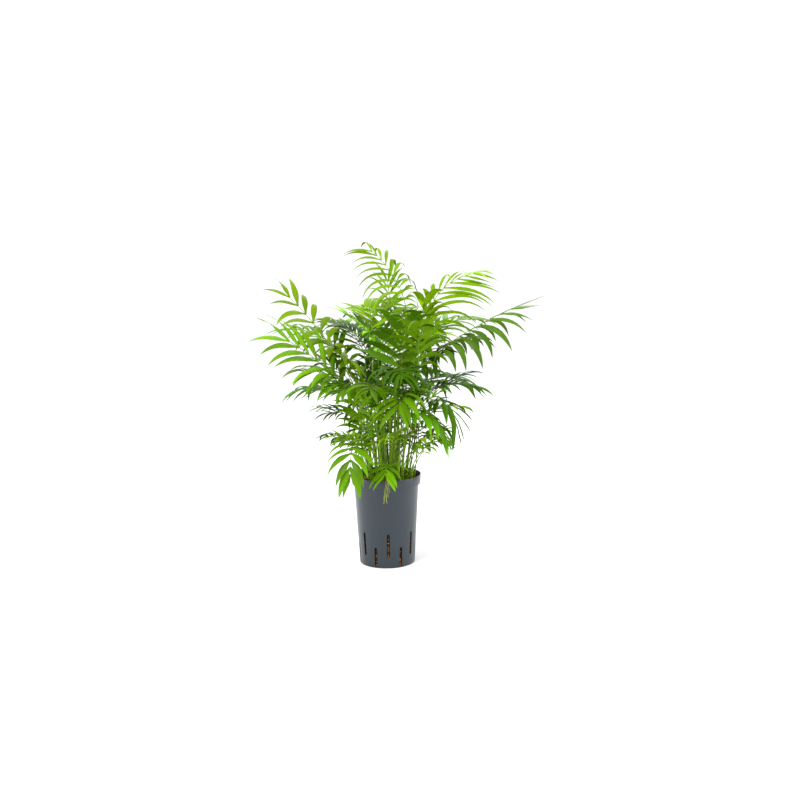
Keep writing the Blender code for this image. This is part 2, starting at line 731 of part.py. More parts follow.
def build_frond(rib, leaflets, material):
    """Draws the rib out of its first triangle and each leaflet out of the rib's side."""
    bm = bmesh.new()
    verts = [bm.verts.new(point) for point in rib.rings[0]]
    _, rings = extrude_through(bm, bm.faces.new(verts), rib.rings[1:])
    bm.faces.new(verts)
    for leaflet in leaflets:
        ring = PETIOLE_STATIONS + 2 * leaflet.pair
        corner = 0 if leaflet.hand == 1 else 1
        back, front = rings[ring][corner], rings[ring + 1][corner]
        low_back, low_front = rings[ring][2], rings[ring + 1][2]
        bmesh.utils.face_split(bm.faces.get((back, front, low_front, low_back)), back, low_front)
        face = bm.faces.get((back, front, low_front))
        order = [(back, front, low_front).index(vert) for vert in face.verts]
        sections = [[section[place] for place in order] for section in leaflet.sections]
        face, drawn = extrude_through(bm, face, sections)
        bmesh.ops.poke(bm, faces=[face])["verts"][0].co = leaflet.tip
        split_sides(bm, [[ring[order.index(place)] for place in range(3)] for ring in drawn], leaflet.hand)
    return add_object(rib.frond.name, bm, material)


def main():
    """Builds the pot, the granules, the canes and every frond."""
    clear_scene()
    canes = place_canes()
    space = Space()
    space.add_object(build_pot(finish_material("pot_plastic", POT_COLOUR, 0.4)))
    space.add_object(build_substrate(finish_material("clay_granules", SUBSTRATE_COLOUR, 0.9)))
    cane_material = finish_material("cane", CANE_COLOUR, 0.55)
    for number, cane in enumerate(canes, start=1):
        build_cane(f"cane_{number:02d}", cane, cane_material)
        space.add(*tube_shape(cane.sections(GAP)))
    fronds = list(SHOWN_FRONDS) + filling_fronds()
    ribs = [grow_rib(frond, canes, space) for frond in fronds]
    leaf_materials = {tone: finish_material(f"leaf_{tone}", colour, 0.5)
                      for tone, colour in LEAF_COLOURS.items()}
    for rib in ribs:
        leaflets = grow_leaflets(rib, space)
        space.add_object(build_frond(rib, leaflets, leaf_materials[rib.frond.tone]))


main()
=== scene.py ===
"""Parlour palm in a slotted culture pot of clay granules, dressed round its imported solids.

The solids of the part are the fixed frame. Each frond of the part is replaced by a finer rib and
finer leaflets, which grow along the same paths by the same rule, and each cane by a ringed stem.
Units are metres, +Z is up, the front of the plant faces -Y, and the origin is the centre of the
pot's flat underside.
"""

import logging
import math
import random
from collections import defaultdict
from dataclasses import dataclass, field
from enum import Enum
from typing import Optional

import bmesh
import bpy
from mathutils import Matrix, Vector
from mathutils.bvhtree import BVHTree


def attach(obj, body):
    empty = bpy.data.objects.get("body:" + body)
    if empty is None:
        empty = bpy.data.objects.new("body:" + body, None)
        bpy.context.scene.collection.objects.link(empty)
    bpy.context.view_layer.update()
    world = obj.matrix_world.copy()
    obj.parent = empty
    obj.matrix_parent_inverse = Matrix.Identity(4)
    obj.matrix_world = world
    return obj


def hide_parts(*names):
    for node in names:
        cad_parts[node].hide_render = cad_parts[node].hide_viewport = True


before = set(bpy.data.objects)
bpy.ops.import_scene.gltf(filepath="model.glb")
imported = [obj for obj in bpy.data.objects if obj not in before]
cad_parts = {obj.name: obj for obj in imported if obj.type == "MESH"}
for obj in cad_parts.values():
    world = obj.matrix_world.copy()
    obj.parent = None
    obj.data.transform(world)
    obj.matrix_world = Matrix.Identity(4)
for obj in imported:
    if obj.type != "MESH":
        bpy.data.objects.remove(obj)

LOG = logging.getLogger("parlour_palm")

BMesh = bmesh.types.BMesh
Material = bpy.types.Material
Object = bpy.types.Object
Socket = bpy.types.NodeSocket
Pair = tuple[float, float]
Triple = tuple[float, float, float]
Colour = tuple[float, float, float, float]
Ring = list[Vector]
Shape = tuple[list[Vector], list[tuple[int, ...]]]

MM = 0.001
UP = Vector((0.0, 0.0, 1.0))
TURN = 2.0 * math.pi
GOLDEN_TURN = math.radians(137.5)
BODY = "root"

# The angles in degrees past which an edge stays sharp, by the kind of piece
TURNED_SHARP = 30.0
ROUGH_SHARP = 50.0
STRAND_SHARP = 60.0
LEAF_SHARP = 70.0


def mix(low: float, high: float, share: float) -> float:
    """Returns the value a share of the way from low to high."""
    return low + (high - low) * share


def level_direction(azimuth: float) -> Vector:
    """Returns the level direction at an angle from +X."""
    return Vector((math.cos(azimuth), math.sin(azimuth), 0.0))


def closed_tube(bm: BMesh, rings: list[Ring]) -> bmesh.types.BMFace:
    """Draws a closed tube through rings of points.

    Args:
        bm: The mesh that takes it.
        rings: The corners of each ring, all in one order, from the foot to the end.

    Returns:
        The end's face.
    """
    foot = [bm.verts.new(point) for point in rings[0]]
    face = bm.faces.new(foot)
    for ring in rings[1:]:
        face = bmesh.ops.extrude_discrete_faces(bm, faces=[face])["faces"][0]
        for vert, point in zip(face.verts, ring):
            vert.co = point
    bm.faces.new(foot)
    return face


def pointed_tube(bm: BMesh, rings: list[Ring], tip: Vector) -> None:
    """Draws a closed tube through rings of points, whose end comes to a point at the tip."""
    end = closed_tube(bm, rings)
    bmesh.ops.poke(bm, faces=[end])["verts"][0].co = tip


def round_edges(bm: BMesh, edges: list[bmesh.types.BMEdge], offset: float,
                segments: int) -> None:
    """Rounds edges of a mesh by an offset in metres."""
    bmesh.ops.bevel(bm, geom=edges, offset=offset, segments=segments, profile=0.5,
                    affect="EDGES", material=-1)


def mesh_of(name: str, bm: BMesh) -> bpy.types.Mesh:
    """Returns a mesh made of a bmesh, which is freed."""
    mesh = bpy.data.meshes.new(name)
    bm.to_mesh(mesh)
    bm.free()
    return mesh


def linked(name: str, data: bpy.types.ID) -> Object:
    """Returns a new object with the given data, linked to the scene."""
    item = bpy.data.objects.new(name, data)
    bpy.context.scene.collection.objects.link(item)
    return item


def finish_piece(name: str, bm: BMesh, materials: list[Material],
                 sharp_angle: Optional[float] = None) -> Object:
    """Makes a smooth-shaded object of a bmesh, with its faces pointing out.

    Args:
        name: The piece's name.
        bm: The mesh, which is freed.
        materials: The finishes, in the order of the faces' material numbers.
        sharp_angle: The angle in degrees past which an edge stays sharp, if any does.

    Returns:
        The new object, which rides on the plant's one body.
    """
    bmesh.ops.recalc_face_normals(bm, faces=bm.faces)
    mesh = mesh_of(name, bm)
    mesh.polygons.foreach_set("use_smooth", [True] * len(mesh.polygons))
    if sharp_angle is not None:
        mesh.set_sharp_from_angle(angle=math.radians(sharp_angle))
    for material in materials:
        mesh.materials.append(material)
    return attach(linked(name, mesh), BODY)


class NodeBoard:
    """Lays out the nodes of one material."""

    # The places of a colour Mix node's two inputs and its result
    mix_inputs: tuple[int, int] = (6, 7)
    mix_result: int = 2

    def __init__(self, name: str) -> None:
        """Starts a material with its Principled shader."""
        self.material = bpy.data.materials.new(name)
        self.material.use_nodes = True
        self.tree = self.material.node_tree
        self.shader = self.tree.nodes["Principled BSDF"]

    def put(self, **values: object) -> None:
        """Sets sockets of the shader by their names, with underscores for spaces."""
        for key, value in values.items():
            self.shader.inputs[key.replace("_", " ")].default_value = value

    def add(self, kind: str, **settings: object) -> bpy.types.Node:
        """Returns a new node of a kind, told without its ShaderNode prefix, with properties set by name."""
        node = self.tree.nodes.new("ShaderNode" + kind)
        for key, value in settings.items():
            setattr(node, key, value)
        return node

    def link(self, source: Socket, target: Socket) -> None:
        """Joins two sockets."""
        self.tree.links.new(source, target)

    def feed(self, value: object, target: Socket) -> None:
        """Joins a socket to the target, or sets the target to a number or colour."""
        if isinstance(value, Socket):
            self.link(value, target)
        else:
            target.default_value = value

    def maths(self, operation: str, first: object, second: object = 0.0) -> Socket:
        """Returns the result of a Math node's operation on sockets or numbers."""
        node = self.add("Math", operation=operation)
        for socket, value in zip(node.inputs, (first, second)):
            self.feed(value, socket)
        return node.outputs[0]

    def blend(self, share: Socket, low: object, high: object) -> Socket:
        """Returns a mix of two colours or colour sockets, where share says how much of the second shows."""
        node = self.add("Mix", data_type="RGBA")
        self.link(share, node.inputs["Factor"])
        for place, value in zip(self.mix_inputs, (low, high)):
            self.feed(value, node.inputs[place])
        return node.outputs[self.mix_result]

    def noise(self, scale: float, detail: float = 3.0, roughness: float = 0.5) -> Socket:
        """Returns noise over the object's own coordinates, with a scale in features a metre."""
        place = self.add("TexCoord")
        node = self.add("TexNoise")
        for key, value in (("Scale", scale), ("Detail", detail), ("Roughness", roughness)):
            node.inputs[key].default_value = value
        self.link(place.outputs["Object"], node.inputs["Vector"])
        return node.outputs["Fac"]

    def steps(self, value: Socket, low: float, high: float) -> Socket:
        """Returns 0 below low and 1 above high, with a smooth rise between."""
        node = self.add("MapRange", interpolation_type="SMOOTHSTEP")
        self.link(value, node.inputs["Value"])
        node.inputs["From Min"].default_value = low
        node.inputs["From Max"].default_value = high
        return node.outputs["Result"]

    def paint(self, colour: Socket) -> None:
        """Feeds a colour to the shader."""
        self.link(colour, self.shader.inputs["Base Color"])

    def bump(self, height: Socket, depth: float, strength: float = 0.5) -> None:
        """Feeds a height, in parts of a depth in metres, to the shader's normal."""
        node = self.add("Bump")
        node.inputs["Strength"].default_value = strength
        node.inputs["Distance"].default_value = depth
        self.link(height, node.inputs["Height"])
        self.link(node.outputs["Normal"], self.shader.inputs["Normal"])


def tinted(colour: Colour, factor: float) -> Colour:
    """Returns a colour made lighter or darker by a factor."""
    return (*(min(channel * factor, 1.0) for channel in colour[:3]), 1.0)


class Tone(Enum):
    """The leaf tones, each named by the record's material slot."""

    LIME = "leaf_lime"
    GREEN = "leaf_green"
    DEEP = "leaf_deep"
    BLUE = "leaf_blue"
    STRAND = "inflorescence"


@dataclass(frozen=True)
class LeafFinish:
    """The face of a leaflet: a clear green with a pale midrib and fine lengthwise veins.

    The midrib's and the veins' edges are where they begin and end to show, across the blade and on
    the veins' wave. mottle and pale are factors on the colour.
    """

    name: str
    colour: Colour
    roughness: float
    gloss: float
    glow: float = 0.04
    glow_radius: Triple = (0.4, 1.0, 0.05)
    glow_depth: float = 0.0015
    midrib_edge: Pair = (0.015, 0.05)
    midrib_strength: float = 0.4
    vein_count: float = 9.0
    vein_edge: Pair = (0.2, 1.0)
    vein_strength: float = 0.18
    mottle_scale: float = 28.0
    mottle: Pair = (0.82, 1.18)
    pale: float = 1.55
    relief: float = 0.25 * MM

    def build(self) -> Material:
        """Returns the material, whose veins follow the blade's own map."""
        board = NodeBoard(self.name)
        board.put(Roughness=self.roughness, Specular_IOR_Level=self.gloss,
                  Subsurface_Weight=self.glow, Subsurface_Radius=self.glow_radius,
                  Subsurface_Scale=self.glow_depth)
        place = board.add("UVMap", uv_map="Blade")
        across = board.add("SeparateXYZ")
        board.link(place.outputs["UV"], across.inputs["Vector"])
        offset = board.maths("ABSOLUTE", board.maths("SUBTRACT", across.outputs["X"], 0.5))
        midrib = board.maths("SUBTRACT", 1.0, board.steps(offset, *self.midrib_edge))
        wave = board.maths("SINE", board.maths("MULTIPLY", across.outputs["X"], self.vein_count * TURN))
        veins = board.maths("MULTIPLY", board.steps(wave, *self.vein_edge), self.vein_strength)
        pale = board.maths("MAXIMUM", board.maths("MULTIPLY", midrib, self.midrib_strength), veins)
        shades = [tinted(self.colour, part) for part in self.mottle]
        mottled = board.blend(board.noise(self.mottle_scale), *shades)
        board.paint(board.blend(pale, mottled, tinted(self.colour, self.pale)))
        board.bump(board.maths("ADD", midrib, veins), self.relief)
        return board.material


@dataclass(frozen=True)
class StalkFinish:
    """The skin of ribs, petioles, stems and buds: smooth, with small soft spots.

    A noise is its scale, its detail and its roughness.
    """

    name: str
    colour: Colour
    spot: Colour
    roughness: float = 0.45
    gloss: float = 0.2
    spot_noise: Triple = (140.0, 4.0, 0.5)
    spot_edge: Pair = (0.42, 0.72)
    grain_noise: Triple = (600.0, 3.0, 0.5)
    relief: float = 0.15 * MM
    relief_strength: float = 0.3

    def build(self) -> Material:
        """Returns the material."""
        board = NodeBoard(self.name)
        board.put(Roughness=self.roughness, Specular_IOR_Level=self.gloss)
        spots = board.steps(board.noise(*self.spot_noise), *self.spot_edge)
        board.paint(board.blend(spots, self.colour, self.spot))
        board.bump(board.noise(*self.grain_noise), self.relief, self.relief_strength)
        return board.material


@dataclass(frozen=True)
class ClayFinish(StalkFinish):
    """Fired clay: porous and matt, with paler burnt patches."""

    roughness: float = 0.9
    spot_noise: Triple = (190.0, 4.0, 0.5)
    spot_edge: Pair = (0.4, 0.65)
    grain_noise: Triple = (1500.0, 4.0, 0.7)
    relief: float = 0.6 * MM
    relief_strength: float = 0.8


@dataclass(frozen=True)
class PlasticFinish:
    """Moulded plastic: satin, with a faint grain and a little dust."""

    name: str
    colour: Colour
    roughness: float
    gloss: float = 0.55
    dust_scale: float = 18.0
    dust_detail: float = 5.0
    dust: Pair = (0.92, 1.1)
    dust_roughness: float = 0.12
    grain_scale: float = 900.0
    grain_detail: float = 2.0
    relief: float = 0.05 * MM
    relief_strength: float = 0.25

    def build(self) -> Material:
        """Returns the material."""
        board = NodeBoard(self.name)
        board.put(Specular_IOR_Level=self.gloss)
        dust = board.noise(self.dust_scale, self.dust_detail)
        board.paint(board.blend(dust, *(tinted(self.colour, part) for part in self.dust)))
        grain = board.noise(self.grain_scale, self.grain_detail)
        board.link(board.maths("ADD", self.roughness - self.dust_roughness / 2.0,
                               board.maths("MULTIPLY", dust, self.dust_roughness)),
                   board.shader.inputs["Roughness"])
        board.bump(grain, self.relief, self.relief_strength)
        return board.material


# The upper faces of one frond are a shade darker, plain and a shade lighter; its under face comes after them
UPPER_SHADES = (-1, 0, 1)
UNDER_FACE = len(UPPER_SHADES)


@dataclass(frozen=True)
class Palette:
    """The upper faces, the under face and the rib of the fronds of one tone.

    A shade is a step lighter, or darker where it is negative, and middle_number is the tone's own.
    A frond's shade is painted light or painted shade, set by where the frond stands in the light.
    """

    tone: Tone
    upper: Colour
    under: Colour
    rib: Colour
    gloss: float = 0.10
    roughness: float = 0.36
    under_gloss: float = 0.05
    under_roughness: float = 0.55
    shade_ratio: float = 1.25
    middle_number: int = 5
    rib_spot: float = 0.7

    def leaf_material(self, shade: int, is_under: bool) -> Material:
        """Returns the upper or under face in a shade, counted in steps from the tone itself."""
        name = f"{self.tone.value}_{'under' if is_under else 'upper'}_{self.middle_number + shade}"
        made = bpy.data.materials.get(name)
        if made:
            return made
        factor = self.shade_ratio ** shade
        if is_under:
            finish = LeafFinish(name, tinted(self.under, factor), self.under_roughness, self.under_gloss)
        else:
            finish = LeafFinish(name, tinted(self.upper, factor), self.roughness, self.gloss)
        return finish.build()

    def leaf_materials(self, shade: int) -> list[Material]:
        """Returns the upper faces of a frond and its under face, in the order of their numbers."""
        upper = [self.leaf_material(shade + step, False) for step in UPPER_SHADES]
        return [*upper, self.leaf_material(shade, True)]

    def rib_material(self) -> Material:
        """Returns the finish of the ribs."""
        return StalkFinish(f"{self.tone.value}_rib", self.rib, tinted(self.rib, self.rib_spot)).build()


# Lime and deep are partly the leaves' own age and partly painted light and shade: lime goes on the top fronds
# as painted light, and deep, made darker, on the inner and low fronds as painted shade
PALETTES = (
    Palette(Tone.LIME, (0.158, 0.292, 0.001, 1.0), (0.165, 0.296, 0.002, 1.0), (0.220, 0.330, 0.006, 1.0)),
    Palette(Tone.GREEN, (0.085, 0.202, 0.001, 1.0), (0.095, 0.202, 0.002, 1.0), (0.130, 0.230, 0.004, 1.0)),
    Palette(Tone.DEEP, (0.028, 0.080, 0.001, 1.0), (0.038, 0.092, 0.002, 1.0), (0.065, 0.135, 0.003, 1.0),
            gloss=0.06),
    Palette(Tone.BLUE, (0.072, 0.170, 0.004, 1.0), (0.092, 0.190, 0.008, 1.0), (0.100, 0.190, 0.008, 1.0),
            gloss=0.16, roughness=0.34),
    Palette(Tone.STRAND, (0.250, 0.300, 0.060, 1.0), (0.200, 0.240, 0.050, 1.0), (0.200, 0.260, 0.045, 1.0)),
)


class Space:
    """Keeps the shapes that are already placed and says whether a new one is clear of them."""

    def __init__(self) -> None:
        """Starts with nothing placed."""
        self.shapes: list[tuple] = []

    def add(self, shape: Shape, owner: str = "") -> None:
        """Stores a shape under the name of what owns it."""
        self.shapes.append((*self.limits(shape[0]), BVHTree.FromPolygons(*shape), owner))

    def add_object(self, item: Object) -> None:
        """Stores the mesh of an object."""
        points = [vert.co.copy() for vert in item.data.vertices]
        self.add((points, [tuple(face.vertices) for face in item.data.polygons]))

    @staticmethod
    def limits(points: list[Vector]) -> tuple[list[float], list[float]]:
        """Returns the lowest and highest corner of some points."""
        low = [min(point[axis] for point in points) for axis in range(3)]
        high = [max(point[axis] for point in points) for axis in range(3)]
        return low, high

    def is_free(self, shape: Shape, ignored: Optional[str] = None) -> bool:
        """Tells whether a shape meets none of the stored ones, apart from those of one owner."""
        low, high = self.limits(shape[0])
        tree = None
        for other_low, other_high, other_tree, owner in self.shapes:
            if owner == ignored:
                continue
            if any(low[axis] > other_high[axis] or high[axis] < other_low[axis] for axis in range(3)):
                continue
            tree = tree or BVHTree.FromPolygons(*shape)
            if tree.overlap(other_tree):
                return False
        return True


def tube_shape(rings: list[Ring]) -> Shape:
    """Returns the points and faces of a tube through rings of equal count."""
    size = len(rings[0])
    points = [point for ring in rings for point in ring]
    faces = [tuple(range(size)), tuple(range(len(points) - size, len(points)))]
    for row in range(len(rings) - 1):
        for side in range(size):
            near = row * size + side
            beside = row * size + (side + 1) % size
            faces.append((near, beside, beside + size, near + size))
    return points, faces


# The clearance that touching pieces keep, and the room that a rib keeps from what it passes
GAP = 0.0003
LIMB_ROOM = 0.0008

# Directions with more than this cosine between them count as one, and so do points this near each other
SAME_WAY = 0.9
SAME_POINT = 0.00001


@dataclass(frozen=True)
class Slot:
    """One upright slot of the pot's wall: its direction and the heights of its ends."""

    azimuth: float
    low: float
    high: float

    @property
    def outward(self) -> Vector:
        """Returns the level direction that the slot faces."""
        return level_direction(self.azimuth)

    def lies_along(self, edge: bmesh.types.BMEdge) -> bool:
        """Tells whether an edge of the slot's bar runs the way that the slot faces."""
        run = (edge.verts[1].co - edge.verts[0].co).normalized()
        return abs(run.dot(self.outward)) > SAME_WAY


@dataclass(frozen=True)
class Pot:
    """The culture pot: a thin tapered shell with a proud lip band and two rows of slots."""

    height: float = 0.193
    rim_radius: float = 0.0745
    base_radius: float = 0.059
    body_top_radius: float = 0.0690
    lip_height: float = 0.020
    lip_taper: float = 0.001
    lip_slope: float = 0.0015
    wall: float = 0.0015
    floor: float = 0.002
    foot_edge: float = 0.0015
    sides: int = 126
    edge_round: float = 0.0004
    edge_segments: int = 2
    edge_turn: float = math.radians(15.0)
    lip_round: float = 0.0006
    lip_segments: int = 4
    slot_count: int = 14
    slot_width: float = 0.0060
    slot_first_azimuth: float = math.radians(-87.0)
    slot_spans: tuple[Pair, ...] = ((0.025, 0.075), (0.0035, 0.045))
    slot_corner: float = 0.0026
    slot_segments: int = 4
    bar_depth: float = 0.012
    fill_below_rim: float = 0.014
    finish: PlasticFinish = PlasticFinish("pot_plastic", (0.005, 0.014, 0.023, 1.0), 0.31)

    @property
    def lip_foot(self) -> float:
        """Returns the height of the lip band's lower edge."""
        return self.height - self.lip_height

    @property
    def lip_foot_radius(self) -> float:
        """Returns the outer radius of the lip band's lower edge."""
        return self.rim_radius - self.lip_taper

    @property
    def body_top(self) -> float:
        """Returns the height where the body turns out to the lip."""
        return self.lip_foot - self.lip_slope

    @property
    def fill_top(self) -> float:
        """Returns the height of the granules."""
        return self.height - self.fill_below_rim

    def body_radius(self, height: float) -> float:
        """Returns the outer radius of the tapered body at a height."""
        return mix(self.base_radius, self.body_top_radius, height / self.body_top)

    def slots(self) -> list[Slot]:
        """Returns the slots, taken in turn from the upper and the lower row."""
        return [Slot(self.slot_first_azimuth + TURN * index / self.slot_count, *self.slot_spans[index % 2])
                for index in range(self.slot_count)]

    def profile(self) -> list[Pair]:
        """Returns the (radius, height) corners of the shell, from the axis outside to the axis inside."""
        return [
            (0.0, 0.0),
            (self.base_radius - self.foot_edge, 0.0),
            (self.body_radius(self.foot_edge), self.foot_edge),
            (self.body_top_radius, self.body_top),
            (self.lip_foot_radius, self.lip_foot),
            (self.rim_radius, self.height),
            (self.rim_radius - self.wall, self.height),
            (self.lip_foot_radius - self.wall, self.lip_foot),
            (self.body_top_radius - self.wall, self.body_top),
            (self.body_radius(self.floor) - self.wall, self.floor),
            (0.0, self.floor),
        ]

    def cutter(self) -> Object:
        """Returns the radial bars that cut the slots, with rounded corners."""
        bm = bmesh.new()
        for slot in self.slots():
            middle = (slot.low + slot.high) / 2.0
            shape = Matrix.Diagonal((self.bar_depth, self.slot_width, slot.high - slot.low, 1.0))
            reach = Matrix.Translation((self.body_radius(middle), 0, middle))
            place = Matrix.Rotation(slot.azimuth, 4, "Z") @ reach
            bar = bmesh.ops.create_cube(bm, size=1.0, matrix=place @ shape)["verts"]
            edges = {edge for vert in bar for edge in vert.link_edges if slot.lies_along(edge)}
            round_edges(bm, list(edges), self.slot_corner, self.slot_segments)
        return linked("slot_bars", mesh_of("slot_bars", bm))

    def turned_edges(self, bm: BMesh) -> list[bmesh.types.BMEdge]:
        """Returns the edges of the level rings where the shell's profile turns."""
        return [edge for edge in bm.edges
                if abs(edge.verts[0].co.z - edge.verts[1].co.z) < SAME_POINT
                and all(vert.co.xy.length > self.base_radius / 2.0 for vert in edge.verts)
                and edge.calc_face_angle(0.0) > self.edge_turn]

    def build(self) -> Object:
        """Turns the shell, rounds its ring edges and cuts its slots.

        Returns:
            The pot, which stands for the part's pot.
        """
        bm = turned_solid(self.profile(), self.sides)
        rings = self.turned_edges(bm)
        under_lip = [edge for edge in rings if self.body_top - GAP < edge.verts[0].co.z < self.lip_foot + GAP]
        edges = [edge for edge in rings if edge not in under_lip]
        round_edges(bm, under_lip, self.lip_round, self.lip_segments)
        round_edges(bm, [edge for edge in edges if edge.is_valid], self.edge_round, self.edge_segments)
        shell = finish_piece("pot_shell", bm, [self.finish.build()])
        bars = self.cutter()
        cut = shell.modifiers.new("slots", "BOOLEAN")
        cut.operation = "DIFFERENCE"
        cut.solver = "EXACT"
        cut.object = bars
        mesh = bpy.data.meshes.new_from_object(shell.evaluated_get(bpy.context.evaluated_depsgraph_get()))
        shell.modifiers.clear()
        shell.data = mesh
        mesh.set_sharp_from_angle(angle=math.radians(TURNED_SHARP))
        bpy.data.objects.remove(bars, do_unlink=True)
        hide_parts("pot")
        return shell


def turned_solid(profile: list[Pair], sides: int) -> BMesh:
    """Spins a profile of (radius, height) pairs that starts and ends on the axis.

    Args:
        profile: The corners, in metres.
        sides: The number of steps round the axis.

    Returns:
        The closed mesh.
    """
    bm = bmesh.new()
    verts = [bm.verts.new((radius, 0.0, height)) for radius, height in profile]
    edges = [bm.edges.new(pair) for pair in zip(verts, verts[1:])]
    bmesh.ops.spin(bm, geom=verts + edges, cent=(0, 0, 0), axis=(0, 0, 1), angle=TURN, steps=sides,
                   use_merge=True)
    bmesh.ops.remove_doubles(bm, verts=bm.verts, dist=SAME_POINT)
    return bm


# The clay of the core, and of the lumps in the order of their material numbers. The near-black core is
# painted shade in the gaps between granules; the darkest lumps are partly random variety and partly painted
# shade
CORE_FINISH = ClayFinish("clay_core", (0.030, 0.017, 0.010, 1.0), (0.050, 0.028, 0.016, 1.0))
LUMP_FINISHES = (
    ClayFinish("clay_rust", (0.380, 0.130, 0.042, 1.0), (0.560, 0.270, 0.120, 1.0)),
    ClayFinish("clay_brown", (0.150, 0.058, 0.024, 1.0), (0.240, 0.105, 0.045, 1.0)),
    ClayFinish("clay_burnt", (0.026, 0.014, 0.009, 1.0), (0.060, 0.033, 0.018, 1.0)),
)


@dataclass(frozen=True)
class Granules:
    """The clay granules: a dark core, which is painted shade in the gaps, lumps over its top and lumps behind
    every slot.

    A lump is an icosphere, stretched on two of its axes and dented at each point by up to dent.
    """

    pot: Pot
    core_inset: float = 0.0045
    core_below: float = 0.0035
    core_sides: int = 64
    lump_subdivisions: int = 2
    stretches: tuple[Pair, ...] = ((0.68, 0.95), (0.62, 0.9))
    dent: float = 0.2
    top_count: int = 330
    top_swing: float = 0.05
    radii: Pair = (0.0021, 0.0040)
    slot_step: float = 0.0040
    slot_step_factors: Pair = (0.7, 1.3)
    slot_depth: float = 0.0012
    slot_radii: Pair = (0.0016, 0.0025)
    # Lumps on top are drawn from a lighter mix, as painted light, and lumps behind the slots from a darker
    # mix, as painted shade
    top_lit_mix: tuple[int, ...] = (0, 0, 1, 1, 2)
    slot_shaded_mix: tuple[int, ...] = (0, 1, 1, 2, 2)
    seed: int = 5

    def lump(self, bm: BMesh, rng: random.Random, centre: Vector, radius: float,
             shades: tuple[int, ...]) -> None:
        """Adds one lumpy granule.

        Args:
            bm: The mesh that takes it.
            rng: The source of its shape and finish.
            centre: Its middle.
            radius: Its largest reach.
            shades: The material numbers to choose from.
        """
        made = bmesh.ops.create_icosphere(bm, subdivisions=self.lump_subdivisions, radius=1.0)["verts"]
        turn = Matrix.Rotation(rng.uniform(0.0, TURN), 3, Vector((rng.random(), rng.random(), rng.random())))
        stretch = (1.0, *(rng.uniform(*limits) for limits in self.stretches))
        for vert in made:
            bulge = 1.0 - rng.uniform(0.0, self.dent)
            shaped = Vector(point * part for point, part in zip(vert.co, stretch))
            vert.co = centre + turn @ shaped * radius * bulge
        shade = rng.choice(shades)
        for face in {face for vert in made for face in vert.link_faces}:
            face.material_index = shade

    def top_lumps(self, bm: BMesh, rng: random.Random) -> None:
        """Spreads granules over the top on a sunflower spiral."""
        reach = self.pot.lip_foot_radius - self.pot.wall - self.radii[1] - GAP
        for index in range(self.top_count):
            share = math.sqrt((index + 0.5) / self.top_count)
            outward = level_direction(index * GOLDEN_TURN + rng.uniform(-self.top_swing, self.top_swing))
            radius = rng.uniform(*self.radii)
            height = self.pot.fill_top - self.core_below + rng.random() * radius
            self.lump(bm, rng, outward * reach * share + UP * height, radius, self.top_lit_mix)

    def slot_lumps(self, bm: BMesh, rng: random.Random) -> None:
        """Stacks small granules in each slot, with their fronts near the wall's outside."""
        for slot in self.pot.slots():
            height = max(slot.low, self.pot.floor) + self.slot_radii[1]
            while height < slot.high - self.slot_radii[1]:
                radius = rng.uniform(*self.slot_radii)
                reach = self.pot.body_radius(height) - GAP - radius - rng.uniform(0.0, self.slot_depth)
                room = self.pot.slot_width / 2.0 - GAP - radius
                outward = level_direction(slot.azimuth + rng.uniform(-room, room) / reach)
                self.lump(bm, rng, outward * reach + UP * height, radius, self.slot_shaded_mix)
                height += self.slot_step * rng.uniform(*self.slot_step_factors)

    def build(self) -> list[Object]:
        """Returns the core and the lumps, which stand for the part's granules."""
        pot = self.pot
        low = pot.floor + GAP
        inset = pot.wall + self.core_inset
        core = turned_solid([
            (0.0, low),
            (pot.body_radius(low) - inset, low),
            (pot.body_top_radius - inset, pot.body_top + GAP),
            (pot.lip_foot_radius - inset, pot.fill_top - self.core_below),
            (0.0, pot.fill_top - self.core_below),
        ], self.core_sides)
        rng = random.Random(self.seed)
        bm = bmesh.new()
        self.top_lumps(bm, rng)
        self.slot_lumps(bm, rng)
        pieces = [finish_piece("granule_core", core, [CORE_FINISH.build()], TURNED_SHARP),
                  finish_piece("granules", bm, [finish.build() for finish in LUMP_FINISHES], ROUGH_SHARP)]
        for piece in pieces:
            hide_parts("substrate")
        return pieces


